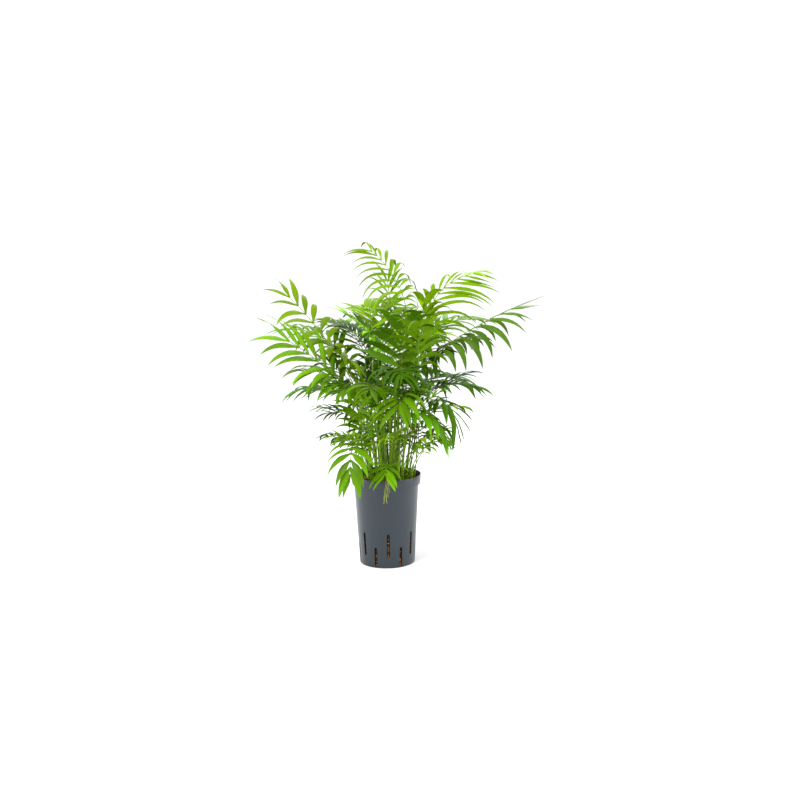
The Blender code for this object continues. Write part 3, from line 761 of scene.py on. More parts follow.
@dataclass
class Cane:
    """One slim cane: its foot, its tip, and the seats on it that hold no petiole yet.

    Each swell is a factor on the radius, and flare_waist is a share of the flare's height with the
    swell there. scar_first and scar_last are the shares of a step that are free of scars at the ends.
    """

    foot: Vector
    tip: Vector
    free_seats: list[float]
    foot_radius: float = 0.0048
    tip_radius: float = 0.0034
    flare: float = 1.35
    flare_height: float = 0.007
    sides: int = 7
    fine_sides: int = 14
    flare_waist: Pair = (0.4, 1.13)
    scar_step: float = 0.0105
    scar_first: float = 0.5
    scar_last: float = 0.4
    scar_swell: float = 1.14
    scar_groove: float = 0.97
    scar_height: float = 0.0011
    tip_swell: float = 0.96
    tip_round: float = 0.4
    tip_segments: int = 2
    slimness: float = 0.66

    @property
    def axis(self) -> Vector:
        """Returns the direction from the foot to the tip."""
        return (self.tip - self.foot).normalized()

    def radius(self, share: float) -> float:
        """Returns the cane's radius a share of the way up."""
        return mix(self.foot_radius, self.tip_radius, share)

    def ring(self, share: float, radius: float, sides: int) -> Ring:
        """Returns a level ring of points round the cane a share of the way up."""
        centre = self.foot.lerp(self.tip, share)
        return [centre + Matrix.Rotation(TURN * side / sides, 3, "Z") @ Vector((radius, 0.0, 0.0))
                for side in range(sides)]

    def rings(self, grow: float) -> list[Ring]:
        """Returns the plain rings of the part's cane, grown by a clearance."""
        flare = self.flare_height / (self.tip - self.foot).length
        return [self.ring(share, self.radius(share) * swell + grow, self.sides)
                for share, swell in ((0.0, self.flare), (flare, 1.0), (0.5 + flare / 2.0, 1.0), (1.0, 1.0))]

    def fine_rings(self) -> list[Ring]:
        """Returns rings with a root flare and a raised scar wherever an old leaf fell."""
        length = (self.tip - self.foot).length
        waist, waist_swell = self.flare_waist
        stations = [(0.0, self.flare), (self.flare_height * waist, waist_swell), (self.flare_height, 1.0)]
        height = self.flare_height + self.scar_step * self.scar_first
        while height < length - self.scar_step * self.scar_last:
            stations += [(height - self.scar_height, self.scar_groove), (height, self.scar_swell),
                         (height + self.scar_height, 1.0)]
            height += self.scar_step
        stations.append((length, self.tip_swell))
        rings = []
        for place, swell in stations:
            share = place / length
            rings.append(self.ring(share, self.radius(share) * swell * self.slimness, self.fine_sides))
        return rings


@dataclass(frozen=True)
class Clump:
    """The canes, spread on a sunflower spiral with the tallest in the middle."""

    pot: Pot
    count: int = 14
    centre: Vector = field(default_factory=lambda: Vector((0.008, 0.0, 0.0)))
    radius: float = 0.047
    tallest: float = 0.175
    shortest: float = 0.030
    lean: float = math.radians(9.0)
    seat_step: float = 0.021
    seat_lowest: float = 0.008
    finish: StalkFinish = StalkFinish("cane", (0.195, 0.375, 0.007, 1.0), (0.140, 0.230, 0.007, 1.0), 0.5)

    def place(self) -> list[Cane]:
        """Returns the canes with all their seats free."""
        canes = []
        for index in range(self.count):
            share = math.sqrt((index + 0.5) / self.count)
            outward = level_direction(index * GOLDEN_TURN)
            foot = self.centre + outward * self.radius * share + UP * (self.pot.fill_top + GAP)
            height = mix(self.tallest, self.shortest, share ** 2)
            lean = outward * math.tan(self.lean * share)
            count = int((height - self.seat_lowest) / self.seat_step) + 1
            seats = [step * self.seat_step for step in range(count)]
            canes.append(Cane(foot, foot + (UP + lean) * height, seats))
        return canes

    def build(self, canes: list[Cane]) -> Object:
        """Draws every ringed cane from its flat foot and rounds its top.

        Args:
            canes: The canes in the order of the part's.

        Returns:
            The one piece that stands for all of them.
        """
        bm = bmesh.new()
        for cane in canes:
            top = closed_tube(bm, cane.fine_rings())
            round_edges(bm, list(top.edges), cane.tip_radius * cane.tip_round, cane.tip_segments)
        piece = finish_piece("canes", bm, [self.finish.build()], ROUGH_SHARP)
        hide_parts(*(f"cane_{number:02d}" for number in range(1, len(canes) + 1)))
        return piece


@dataclass(frozen=True)
class Frond:
    """One frond. Its two places are in millimetres from the centre of the pot's underside.

    start and tip are the ends of the blade, bow lifts its middle, leaflet is the longest leaflet,
    broad and spread widen it and its angle, droop bends the leaflets down, lift raises them,
    roll turns the whole blade, right_share and right_droop shorten and bend the leaflets of its
    right side, tip_loss shortens the last ones and stiffness keeps them straight, density is how
    many leaflet pairs there are for each of the part's, and shade is lighter or darker in steps:
    painted light or painted shade, for where the frond stands in the light.
    """

    name: str
    start: Triple
    tip: Triple
    bow: float = 12.0
    leaflet: float = 100.0
    broad: float = 1.0
    spread: float = 1.0
    droop: float = 1.1
    lift: float = 18.0
    roll: float = 0.0
    right_share: float = 1.0
    right_droop: float = 1.0
    tip_loss: float = 0.22
    stiffness: float = 0.45
    pairs: int = 7
    density: float = 1.4
    tone: Tone = Tone.GREEN
    shade: int = 0


# The fronds that show, named by where they stand; their tones and shades are partly painted light and painted
# shade
SHOWN_FRONDS = (
    Frond("frond_crest_left", (47, 20, 545), (-28, 50, 668), bow=14, leaflet=98, broad=0.72, droop=1.8,
          lift=-12, roll=-50, right_share=0.78, right_droop=1.6, pairs=8, tone=Tone.LIME, shade=-1),
    Frond("frond_crest_right", (90, 0, 488), (194, -20, 618), bow=36, leaflet=130, broad=0.8, droop=1.1,
          lift=-30, roll=-42, pairs=8, tip_loss=0.55, tone=Tone.LIME, shade=2),
    Frond("frond_crest_back", (15, 70, 500), (8, 90, 602), bow=4, leaflet=76, broad=0.8, droop=1.5,
          pairs=6, tone=Tone.GREEN, shade=2),
    Frond("frond_crown_front", (84, -30, 462), (86, -60, 572), bow=6, leaflet=78, broad=1.5, spread=0.6,
          droop=2.4, pairs=5, tone=Tone.LIME),
    Frond("frond_right_reach", (116, -30, 456), (268, -60, 548), bow=7, leaflet=98, broad=1.1,
          droop=2.4, lift=-25, spread=0.9, roll=22, stiffness=1.0, density=1.1, tone=Tone.BLUE,
          shade=-1),
    Frond("frond_right_dark", (67, 20, 409), (178, 20, 476), bow=12, leaflet=95, broad=1.2, droop=2.0,
          pairs=6, tone=Tone.DEEP, shade=1),
    Frond("frond_left_high", (-104, 0, 456), (-200, 0, 576), bow=4, leaflet=86, broad=1.25, droop=1.3,
          lift=12, roll=-45, right_droop=2.0, pairs=5, tone=Tone.LIME, shade=-2),
    Frond("frond_left_mid", (-88, -40, 387), (-196, -80, 490), bow=8, leaflet=114, broad=1.2,
          spread=0.75, droop=1.0, lift=10, roll=-60, pairs=5, tone=Tone.GREEN, shade=1),
    Frond("frond_left_low", (-60, -50, 362), (-160, -80, 425), bow=20, leaflet=84, broad=1.3, droop=1.4,
          lift=6, spread=0.75, roll=-15, pairs=6, tone=Tone.GREEN),
    Frond("frond_left_bright", (-65, -80, 415), (-98, -120, 473), bow=6, leaflet=84, broad=1.5,
          droop=1.8, roll=-20, pairs=4, tone=Tone.LIME, shade=-3),
    Frond("frond_left_under", (-43, -50, 335), (-94, -80, 393), bow=12, leaflet=78, broad=1.1,
          droop=2.2, pairs=6, tone=Tone.GREEN, shade=2),
    Frond("frond_left_inner", (-22, -25, 362), (-72, -45, 440), bow=10, leaflet=88, broad=1.4,
          droop=1.8, pairs=6, tone=Tone.DEEP, shade=1),
    Frond("frond_left_fringe", (-46, -20, 268), (-62, -10, 362), bow=6, leaflet=75, broad=0.85,
          droop=1.8, lift=0, roll=-70, pairs=8, tone=Tone.GREEN, shade=2),
    Frond("frond_left_spire", (-16, 50, 445), (-75, 60, 525), bow=10, leaflet=82, tone=Tone.GREEN, shade=4),
    Frond("frond_left_back", (-41, 100, 450), (-110, 120, 505), bow=12, leaflet=76, broad=0.9,
          tone=Tone.DEEP, shade=1),
    Frond("frond_pot_left", (-62, -60, 272), (-71, -114, 214), bow=22, leaflet=76, broad=1.4, droop=1.2,
          pairs=5, tone=Tone.GREEN),
    Frond("frond_pot_front", (7, -55, 222), (0, -98, 214), bow=9, leaflet=64, broad=1.15,
          spread=1.2, droop=0.9, lift=14, pairs=4, tone=Tone.GREEN, shade=1),
    Frond("frond_centre_fan", (44, -100, 373), (30, -180, 368), bow=16, leaflet=102, broad=1.2,
          spread=1.15, droop=1.3, lift=24, pairs=6, tone=Tone.GREEN),
    Frond("frond_centre_drape", (32, -50, 391), (40, -80, 512), bow=14, leaflet=118, broad=1.5,
          droop=2.2, pairs=6, tone=Tone.DEEP, shade=3),
    Frond("frond_centre_bright", (69, -100, 432), (73, -150, 520), bow=14, leaflet=88, broad=1.4,
          droop=1.9, pairs=6, tone=Tone.GREEN),
    Frond("frond_centre_low", (24, -100, 408), (36, -165, 425), bow=12, leaflet=85, broad=1.3,
          droop=1.8, pairs=6, tone=Tone.DEEP, shade=1),
    Frond("frond_right_low", (96, -30, 352), (146, -50, 310), bow=20, leaflet=86, broad=1.15,
          spread=1.2, droop=0.8, lift=0, pairs=5, tone=Tone.DEEP, shade=2),
    Frond("frond_right_tuft", (70, 15, 350), (180, 20, 378), bow=14, leaflet=80, broad=1.1, tone=Tone.DEEP,
          shade=2),
    Frond("frond_right_inner", (50, -40, 325), (116, -60, 292), bow=18, leaflet=76, broad=1.2,
          droop=1.4, tone=Tone.DEEP, shade=6),
    Frond("frond_right_fringe", (62, -10, 242), (112, -20, 272), bow=12, leaflet=64, broad=0.8,
          droop=1.6, tone=Tone.GREEN, shade=2),
    Frond("inflorescence", (5, -91, 204), (-1, -97, 168), bow=0, leaflet=26, broad=0.13, spread=0.6,
          droop=2.0, lift=0, pairs=4, tone=Tone.STRAND),
)


@dataclass(frozen=True)
class Tier:
    """A fan of fronds that fills the crown where the shown ones leave it open.

    Angles are in degrees, round the plant from +X, and reaches and heights in millimetres. A
    frond's size varies by up to jitter, and its tip's height by tip_jitter of that.
    """

    name: str
    count: int
    azimuths: Pair
    start: Pair
    tip: Pair
    leaflet: float
    tone: Tone
    shade: int = 0
    jitter: float = 0.10
    tip_jitter: float = 0.5
    swing: float = 6.0
    bows: Pair = (12.0, 24.0)
    roll: float = 15.0

    def fronds(self, rng: random.Random) -> list[Frond]:
        """Returns the tier's fronds, spread over its angles with a little seeded variety."""
        fronds = []
        for index in range(self.count):
            share = index / max(1, self.count - 1)
            angle = mix(*self.azimuths, share) + rng.uniform(-self.swing, self.swing)
            outward = level_direction(math.radians(angle))
            size = 1.0 + rng.uniform(-self.jitter, self.jitter)
            start = outward * self.start[0] * size + UP * self.start[1] * size
            tip = outward * self.tip[0] * size + UP * self.tip[1] * (1.0 + (size - 1.0) * self.tip_jitter)
            fronds.append(Frond(f"{self.name}_{index + 1}", tuple(start), tuple(tip),
                                bow=rng.uniform(*self.bows), leaflet=self.leaflet * size,
                                roll=rng.uniform(-self.roll, self.roll), tone=self.tone, shade=self.shade))
        return fronds


# A tier's shade, its last number where one is given, is painted light or painted shade in steps
TIERS = (
    Tier("frond_rear_top", 4, (42, 118), (52, 450), (110, 528), 80, Tone.LIME),
    Tier("frond_rear_mid", 5, (28, 154), (80, 415), (210, 488), 98, Tone.GREEN),
    Tier("frond_rear_low", 4, (28, 148), (75, 335), (190, 352), 90, Tone.DEEP, 3),
    Tier("frond_front_mid", 3, (-126, -62), (70, 345), (165, 392), 84, Tone.GREEN, -1),
    Tier("frond_rear_rim", 2, (70, 140), (62, 245), (120, 262), 62, Tone.GREEN),
)
FILL_SEED = 11

# How a rib leaves its cane and reaches its blade
SEAT_TOWARDS_BLADE = 0.5
SEAT_HEIGHTS = (0.190, 0.335)
BLADE_HEIGHTS = (0.220, 0.545)
LEAF_BASE_LENGTH = 0.009
PETIOLE_HALF = 0.0019
RIB_TIP_HALF = 0.0008
RIB_DEPTH = 1.1
RIB_TOP = 0.4
FOOT_TILT = 0.25
PETIOLE_STATIONS = 5
PATH_STEPS = 12
BLADE_SHIFT = 0.25
PETIOLE_RISE = 0.06
RISE_INWARD = 0.6
TOP_HEADING = (0.9, 0.1)
SIDE_HEADING = (0.65, 0.75)
SEATS_TRIED = 5
SWINGS = tuple((swing, lift) for lift in (1.0, 2.5, -1.5)
               for swing in (0, 6, -6, 12, -12, 18, -18, 25, -25, 33, -33, 42, -42))

# Leaflets: their share of the blade, and how they change from its foot to its tip
BLADE_FIRST = 0.03
BLADE_LAST = 0.96
LEAF_ANGLES = (math.radians(66.0), math.radians(24.0))
LEAF_ANGLE_GROWTH = 1.2
LONGEST_AT = 0.4
FOOT_LOSS = 0.30
LEAF_ROOT_SHARE = 0.5
LEAF_WIDTH_BASE = 0.0075
LEAF_WIDTH_PER_LENGTH = 0.055
LEAF_STEPS = 24
LEAF_SAG = 2.0
LEAF_SAG_GROWTH = 0.8
LEAF_LEVELLING = 0.8


def smooth_path(knots: list[Vector]) -> list[Vector]:
    """Returns points along a smooth curve through the knots."""
    spans = [(after - before).length for before, after in zip(knots, knots[1:])]
    slopes = [(after - before) / span for before, after, span in zip(knots, knots[1:], spans)]
    headings = [slopes[0]]
    for index in range(1, len(spans)):
        before, after = spans[index - 1], spans[index]
        headings.append((slopes[index - 1] * after + slopes[index] * before) / (before + after))
    headings.append(slopes[-1] * 2.0 - headings[-1])
    points = []
    for index, span in enumerate(spans):
        for step in range(PATH_STEPS):
            t = step / PATH_STEPS
            points.append(knots[index] * (2 * t ** 3 - 3 * t ** 2 + 1)
                          + headings[index] * span * (t ** 3 - 2 * t ** 2 + t)
                          + knots[index + 1] * (3 * t ** 2 - 2 * t ** 3)
                          + headings[index + 1] * span * (t ** 3 - t ** 2))
    points.append(knots[-1])
    return points


class Rib:
    """The petiole and rib of one frond, from its cane to its tip."""

    fine_step = 0.006
    fine_sides = 8
    fewest_steps = 8
    slimness = 0.78
    sheath_swell = 1.7
    channel = 0.55

    def __init__(self, frond: Frond, knots: tuple[Vector, ...], blade_knot: int) -> None:
        """Lays the rib's path through its knots.

        Args:
            frond: The frond that the rib carries.
            knots: The points that the path runs through, from the cane to the tip.
            blade_knot: The number of the knot where the blade starts.
        """
        self.frond = frond
        self.points = smooth_path(list(knots))
        self.lengths = [0.0]
        for before, after in zip(self.points, self.points[1:]):
            self.lengths.append(self.lengths[-1] + (after - before).length)
        self.total = self.lengths[-1]
        self.blade_start = self.lengths[blade_knot * PATH_STEPS]
        heading = knots[-1] - knots[blade_knot]
        self.across = UP.cross(heading.normalized()).normalized()
        self.rings = [self.section(distance) for distance in self.stations()]

    def at(self, distance: float) -> tuple[Vector, Vector]:
        """Returns the point and the direction at a distance along the rib."""
        distance = min(max(distance, 0.0), self.total)
        index = 1
        while self.lengths[index] < distance and index < len(self.lengths) - 1:
            index += 1
        before, after = self.lengths[index - 1], self.lengths[index]
        share = (distance - before) / (after - before)
        point = self.points[index - 1].lerp(self.points[index], share)
        low, high = max(index - 2, 0), min(index + 1, len(self.points) - 1)
        return point, (self.points[high] - self.points[low]).normalized()

    def frame(self, distance: float) -> tuple[Vector, Vector, Vector, Vector]:
        """Returns the point, direction, left side and upper side at a distance along the rib."""
        point, along = self.at(distance)
        side = (self.across - along * self.across.dot(along)).normalized()
        roll = math.radians(self.frond.roll) * min(distance / self.blade_start, 1.0)
        side = Matrix.Rotation(roll, 3, along) @ side
        return point, along, side, along.cross(side)

    def leaf_length(self, share: float) -> float:
        """Returns the length of the leaflets a share of the way along the blade."""
        below = share < LONGEST_AT
        offset = (share - LONGEST_AT) / (LONGEST_AT if below else 1.0 - LONGEST_AT)
        loss = FOOT_LOSS if below else self.frond.tip_loss
        return self.frond.leaflet * MM * (1.0 - loss * offset ** 2)

    def leaf_width(self, length: float) -> float:
        """Returns the width of a leaflet of a given length."""
        return (LEAF_WIDTH_BASE + LEAF_WIDTH_PER_LENGTH * length) * self.frond.broad

    def blade_place(self, share: float) -> float:
        """Returns the distance along the rib of a share of the blade's leafy part."""
        return self.blade_start + (self.total - self.blade_start) * mix(BLADE_FIRST, BLADE_LAST, share)

    def half_width(self, distance: float) -> float:
        """Returns half the rib's width, which tapers to its tip."""
        return mix(PETIOLE_HALF, RIB_TIP_HALF, distance / self.total)

    def section(self, distance: float, grow: float = 0.0) -> Ring:
        """Returns the left, right and lower corner of the part's rib at a distance along it."""
        point, _, side, over = self.frame(distance)
        half = self.half_width(distance) + grow
        return [point + side * half + over * half * RIB_TOP,
                point - side * half + over * half * RIB_TOP,
                point - over * half * RIB_DEPTH]

    def stations(self) -> list[float]:
        """Returns the distances of the part's rings: the petiole's, then two for each pair."""
        places = []
        for index in range(self.frond.pairs):
            share = index / (self.frond.pairs - 1)
            root = self.leaf_width(self.leaf_length(share)) * LEAF_ROOT_SHARE
            places.append((self.blade_place(share), root))
        first_leaf = places[0][0] - places[0][1] / 2.0
        distances = [first_leaf * step / PETIOLE_STATIONS for step in range(PETIOLE_STATIONS)]
        distances[1] = min(distances[1], LEAF_BASE_LENGTH)
        for middle, root in places:
            distances += [middle - root / 2.0, middle + root / 2.0]
        return distances + [max(self.total, distances[-1] + MM)]

    def test_shape(self) -> Shape:
        """Returns the rib past its base, a little thicker, to try whether it is clear."""
        return tube_shape([self.section(distance, LIMB_ROOM) for distance in self.stations()[1:]])

    def fine_ring(self, distance: float) -> Ring:
        """Returns a ring of the skin: rounded below, flatter and faintly channelled above."""
        point, _, side, over = self.frame(distance)
        sheath = max(0.0, 1.0 - distance / LEAF_BASE_LENGTH)
        half = self.half_width(distance) * self.slimness * mix(1.0, self.sheath_swell, sheath)
        ring = []
        for number in range(self.fine_sides):
            angle = TURN * number / self.fine_sides
            depth = math.sin(angle) * (RIB_DEPTH if math.sin(angle) < 0.0 else RIB_TOP)
            if number == self.fine_sides // 4:
                depth *= self.channel
            ring.append(point + side * half * math.cos(angle) + over * half * depth)
        return ring

    def draw(self, bm: BMesh) -> None:
        """Draws the skin of the rib from its sheath to its fine tip."""
        count = max(self.fewest_steps, round(self.total / self.fine_step))
        rings = [self.fine_ring(self.total * step / count) for step in range(count + 1)]
        point, along = self.at(self.total)
        pointed_tube(bm, rings, point + along * RIB_TIP_HALF)


class RibGrower:
    """Finds every rib a way out of the clump, by the same search as the part's."""

    def __init__(self, pot: Pot, clump: Clump, space: Space) -> None:
        """Places the canes and starts with every seat free."""
        self.clump = clump
        self.space = space
        self.canes = clump.place()
        for node in ("pot", "substrate"):
            space.add_object(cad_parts[node])
        for cane in self.canes:
            space.add(tube_shape(cane.rings(GAP)))

    def rank_seats(self, start: Vector) -> list[tuple[Cane, float]]:
        """Returns the free seats as (cane, depth below its tip), the most suitable first."""
        share = (start.z - BLADE_HEIGHTS[0]) / (BLADE_HEIGHTS[1] - BLADE_HEIGHTS[0])
        wanted = self.clump.centre.lerp(start, SEAT_TOWARDS_BLADE)
        wanted.z = mix(*SEAT_HEIGHTS, share)

        def distance(choice: tuple[Cane, float]) -> float:
            """Returns how far a seat is from the wanted place."""
            cane, depth = choice
            return (cane.tip - cane.axis * depth - wanted).length

        return sorted(((cane, depth) for cane in self.canes for depth in cane.free_seats), key=distance)

    def try_rib(self, frond: Frond, cane: Cane, depth: float, swing: float, lift: float) -> Rib:
        """Lays out a rib from one seat.

        Args:
            frond: The frond that it carries.
            cane: The cane that it leaves.
            depth: How far its seat is below the cane's tip, in metres.
            swing: How far its petiole swings aside, in millimetres.
            lift: How much its petiole rises, as a multiple of the usual rise.

        Returns:
            The rib.
        """
        start, tip = Vector(frond.start) * MM, Vector(frond.tip) * MM
        share = 1.0 - depth / (cane.tip - cane.foot).length
        seat = cane.foot.lerp(cane.tip, share)
        outward = start - seat
        outward = (outward - cane.axis * outward.dot(cane.axis)).normalized()
        if depth == 0.0:
            base = seat + cane.axis * (GAP + PETIOLE_HALF * FOOT_TILT)
            along, aside = TOP_HEADING
        else:
            base = seat + outward * (cane.radius(share) + GAP + PETIOLE_HALF * RIB_TOP)
            along, aside = SIDE_HEADING
        first = base + (cane.axis * along + outward * aside) * LEAF_BASE_LENGTH
        chord = start - first
        rise = (UP - outward * RISE_INWARD) * chord.length * PETIOLE_RISE * lift
        heading = (tip - start).normalized()
        bow = heading.cross(UP.cross(heading).normalized()) * frond.bow * MM
        shift = UP.cross(outward).normalized() * swing * MM
        via = first + chord * 0.5 + rise + shift
        blade = [place + shift * BLADE_SHIFT for place in (start, (start + tip) / 2.0 + bow, tip)]
        return Rib(frond, (base, first, via, *blade), 3)

    def grow(self, frond: Frond) -> Rib:
        """Runs a petiole and rib from the best seat that has a free way out.

        Args:
            frond: The frond that needs a rib.

        Returns:
            The rib, whose seat is now taken.

        Raises:
            ValueError: No seat has a free way out.
        """
        for cane, depth in self.rank_seats(Vector(frond.start) * MM)[:SEATS_TRIED]:
            for swing, lift in SWINGS:
                rib = self.try_rib(frond, cane, depth, swing, lift)
                if self.space.is_free(rib.test_shape()):
                    cane.free_seats.remove(depth)
                    self.space.add(tube_shape(rib.rings), frond.name)
                    return rib
        raise ValueError(f"{frond.name} finds no free way out")


@dataclass(frozen=True)
class Bend:
    """How one leaflet differs from its neighbours: its sag, its twist, its size and its angle."""

    sag: float
    twist: float
    size: float
    turn: float = 0.0


BENDS = (Bend(1.0, 0.0, 1.0), Bend(1.6, 0.0, 1.0), Bend(0.5, 0.0, 1.0), Bend(1.0, 25.0, 0.95),
         Bend(2.2, 20.0, 0.9), Bend(0.2, -20.0, 0.9), Bend(1.3, 0.0, 0.75), Bend(0.6, 20.0, 0.7),
         Bend(1.8, 0.0, 0.55), Bend(0.4, 0.0, 0.5))


# The keel's number among the points of a leaflet's ring, and where each point lies across its map
KEEL = 3
RING_ACROSS = (0.0, 0.5, 1.0, 0.5)

# How many rings stand at a leaflet's root, beside its rib
ROOT_RINGS = 2


@dataclass(frozen=True)
class Blade:
    """One leaflet as rings of four points: left edge, ridge, right edge and keel."""

    rings: tuple[Ring, ...]
    tip: Vector

    def shape_past_root(self) -> Shape:
        """Returns the points and faces of the blade past its root."""
        return tube_shape([*self.rings[ROOT_RINGS:], [self.tip] * len(RING_ACROSS)])


@dataclass(frozen=True)
class BladeForm:
    """The outline and section that all leaflets share, and how they grow from a rib."""

    steps: tuple[int, ...] = (0, 2, 4, 7, 10, 13, 16, 19, 22)
    root_breadth: float = 0.26
    peak: float = 0.36
    taper: float = 1.75
    fold: float = 0.20
    thickness: float = 0.00045
    thinning: float = 0.6
    root_inset: float = 0.5

    def breadth(self, reach: float) -> float:
        """Returns the blade's share of its full width a share of the way along it."""
        rise = min(reach / self.peak, 1.0)
        swell = mix(self.root_breadth, 1.0, rise * rise * (3.0 - 2.0 * rise))
        fall = max(0.0, (reach - self.peak) / (1.0 - self.peak))
        return swell * (1.0 - fall ** self.taper)

    def ring(self, centre: Vector, edge: Vector, over: Vector, width: float, reach: float) -> Ring:
        """Returns the four points of the blade's section.

        Args:
            centre: The middle of the blade there.
            edge: The direction across it.
            over: The direction of its upper face.
            width: The leaflet's full width.
            reach: The share of the way along it.
        """
        half = edge * width * self.breadth(reach) / 2.0
        fold = over * half.length * 2.0 * self.fold * (1.0 - reach)
        thick = over * self.thickness * (1.0 - self.thinning * reach)
        return [centre + half, centre + fold + thick, centre - half, centre + fold - thick]

    def shape(self, rib: Rib, share: float, hand: int, bend: Bend) -> Blade:
        """Works out one leaflet, which leaves the rib at an angle and bends down under its weight.

        Args:
            rib: The rib that carries it.
            share: Its share of the way along the blade.
            hand: 1 for the left side, -1 for the right.
            bend: How it differs from its neighbours.

        Returns:
            The blade.
        """
        middle = rib.blade_place(share)
        point, along, side, over = rib.frame(middle)
        angle = mix(*LEAF_ANGLES, share ** LEAF_ANGLE_GROWTH) * rib.frond.spread + math.radians(bend.turn)
        lift = math.radians(rib.frond.lift)
        outward = side * hand * math.cos(lift) + over * math.sin(lift)
        heading = (along * math.cos(angle) + outward * math.sin(angle)).normalized()
        length = rib.leaf_length(share) * bend.size * (1.0 if hand == 1 else rib.frond.right_share)
        width = rib.leaf_width(length)
        centre = point + side * hand * rib.half_width(middle) * self.root_inset
        droop = rib.frond.droop * bend.sag * (1.0 if hand == 1 else rib.frond.right_droop)
        fall = droop * LEAF_SAG * (1.0 - rib.frond.stiffness * share ** 2) / LEAF_STEPS
        rings = []
        for step in range(LEAF_STEPS + 1):
            reach = step / LEAF_STEPS
            if step:
                heading = (heading - UP * fall * reach ** LEAF_SAG_GROWTH).normalized()
                centre = centre + heading * length / LEAF_STEPS
            if step in self.steps:
                edge = (along - heading * along.dot(heading)).normalized()
                level = UP.cross(heading)
                level *= math.copysign(1.0, level.dot(edge))
                edge = edge.lerp(level, LEAF_LEVELLING * math.sqrt(reach)).normalized()
                edge = Matrix.Rotation(math.radians(bend.twist) * hand * reach, 3, heading) @ edge
                rings.append(self.ring(centre, edge * hand, edge.cross(heading) * hand, width, reach))
        return Blade(tuple(rings), centre)

    def draw(self, bm: BMesh, blade: Blade, upper: int, under: int) -> None:
        """Draws a blade out of its root and lays its finishes and its map.

        Args:
            bm: The mesh that takes it.
            blade: The blade.
            upper: The material number of its upper face.
            under: The material number of its under face.
        """
        layer = bm.loops.layers.uv.get("Blade") or bm.loops.layers.uv.new("Blade")
        start = len(bm.verts)
        pointed_tube(bm, list(blade.rings), blade.tip)
        bm.verts.ensure_lookup_table()
        made = bm.verts[start:]
        maps = {}
        for row, step in enumerate(self.steps):
            for number, across in enumerate(RING_ACROSS):
                maps[made[row * len(RING_ACROSS) + number]] = (number, across, step / LEAF_STEPS)
        maps[made[-1]] = (None, 0.5, 1.0)
        for face in {face for vert in made for face in vert.link_faces}:
            is_under = any(maps[vert][0] == KEEL for vert in face.verts)
            face.material_index = under if is_under else upper
            for loop in face.loops:
                loop[layer].uv = maps[loop.vert][1:]


@dataclass(frozen=True)
class FlowerHead:
    """The strands of a flower head, thin and bent, with small buds. Radii and sway are in millimetres."""

    form: BladeForm
    rng: random.Random
    count: int = 7
    sides: int = 6
    radii: Pair = (0.75, 0.45)
    sags: Pair = (0.6, 1.2)
    sizes: Pair = (0.9, 1.15)
    turn: float = 14.0
    sway: float = 0.6
    bud_places: tuple[float, ...] = (0.25, 0.75)
    bud_radii: Pair = (0.6, 0.9)
    bud_finish: StalkFinish = StalkFinish("flower_bud", (0.36, 0.34, 0.08, 1.0), (0.26, 0.28, 0.05, 1.0))

    def draw(self, strands: BMesh, buds: BMesh, rib: Rib) -> None:
        """Draws the strands and their buds along a stalk.

        Args:
            strands: The mesh that takes the strands.
            buds: The mesh that takes the buds.
            rib: The stalk.
        """
        for index in range(self.count):
            bend = Bend(self.rng.uniform(*self.sags), 0.0, self.rng.uniform(*self.sizes),
                        self.rng.uniform(-self.turn, self.turn))
            blade = self.form.shape(rib, index / (self.count - 1), 1 if index % 2 else -1, bend)
            self.draw_strand(strands, buds, [ring[0].lerp(ring[2], 0.5) for ring in blade.rings])

    def draw_strand(self, strands: BMesh, buds: BMesh, path: list[Vector]) -> None:
        """Draws one swaying strand along a path, with buds round it past its first length."""
        rings = []
        for number, (point, after) in enumerate(zip(path, path[1:])):
            along = (after - point).normalized()
            side = along.orthogonal().normalized()
            aside = side + along.cross(side) * self.rng.uniform(-1.0, 1.0)
            sway = aside * self.rng.uniform(-self.sway, self.sway) * MM
            middle = point + sway if number else point
            arm = side * mix(*self.radii, number / len(path)) * MM
            rings.append([middle + Matrix.Rotation(TURN * part / self.sides, 3, along) @ arm
                          for part in range(self.sides)])
            for share in self.bud_places if number else ():
                turn = Matrix.Rotation(self.rng.uniform(0.0, TURN), 3, along)
                spot = Matrix.Translation(middle.lerp(after, share) + turn @ arm)
                radius = self.rng.uniform(*self.bud_radii) * MM
                bmesh.ops.create_icosphere(buds, subdivisions=1, radius=radius, matrix=spot)
        pointed_tube(strands, rings, path[-1])


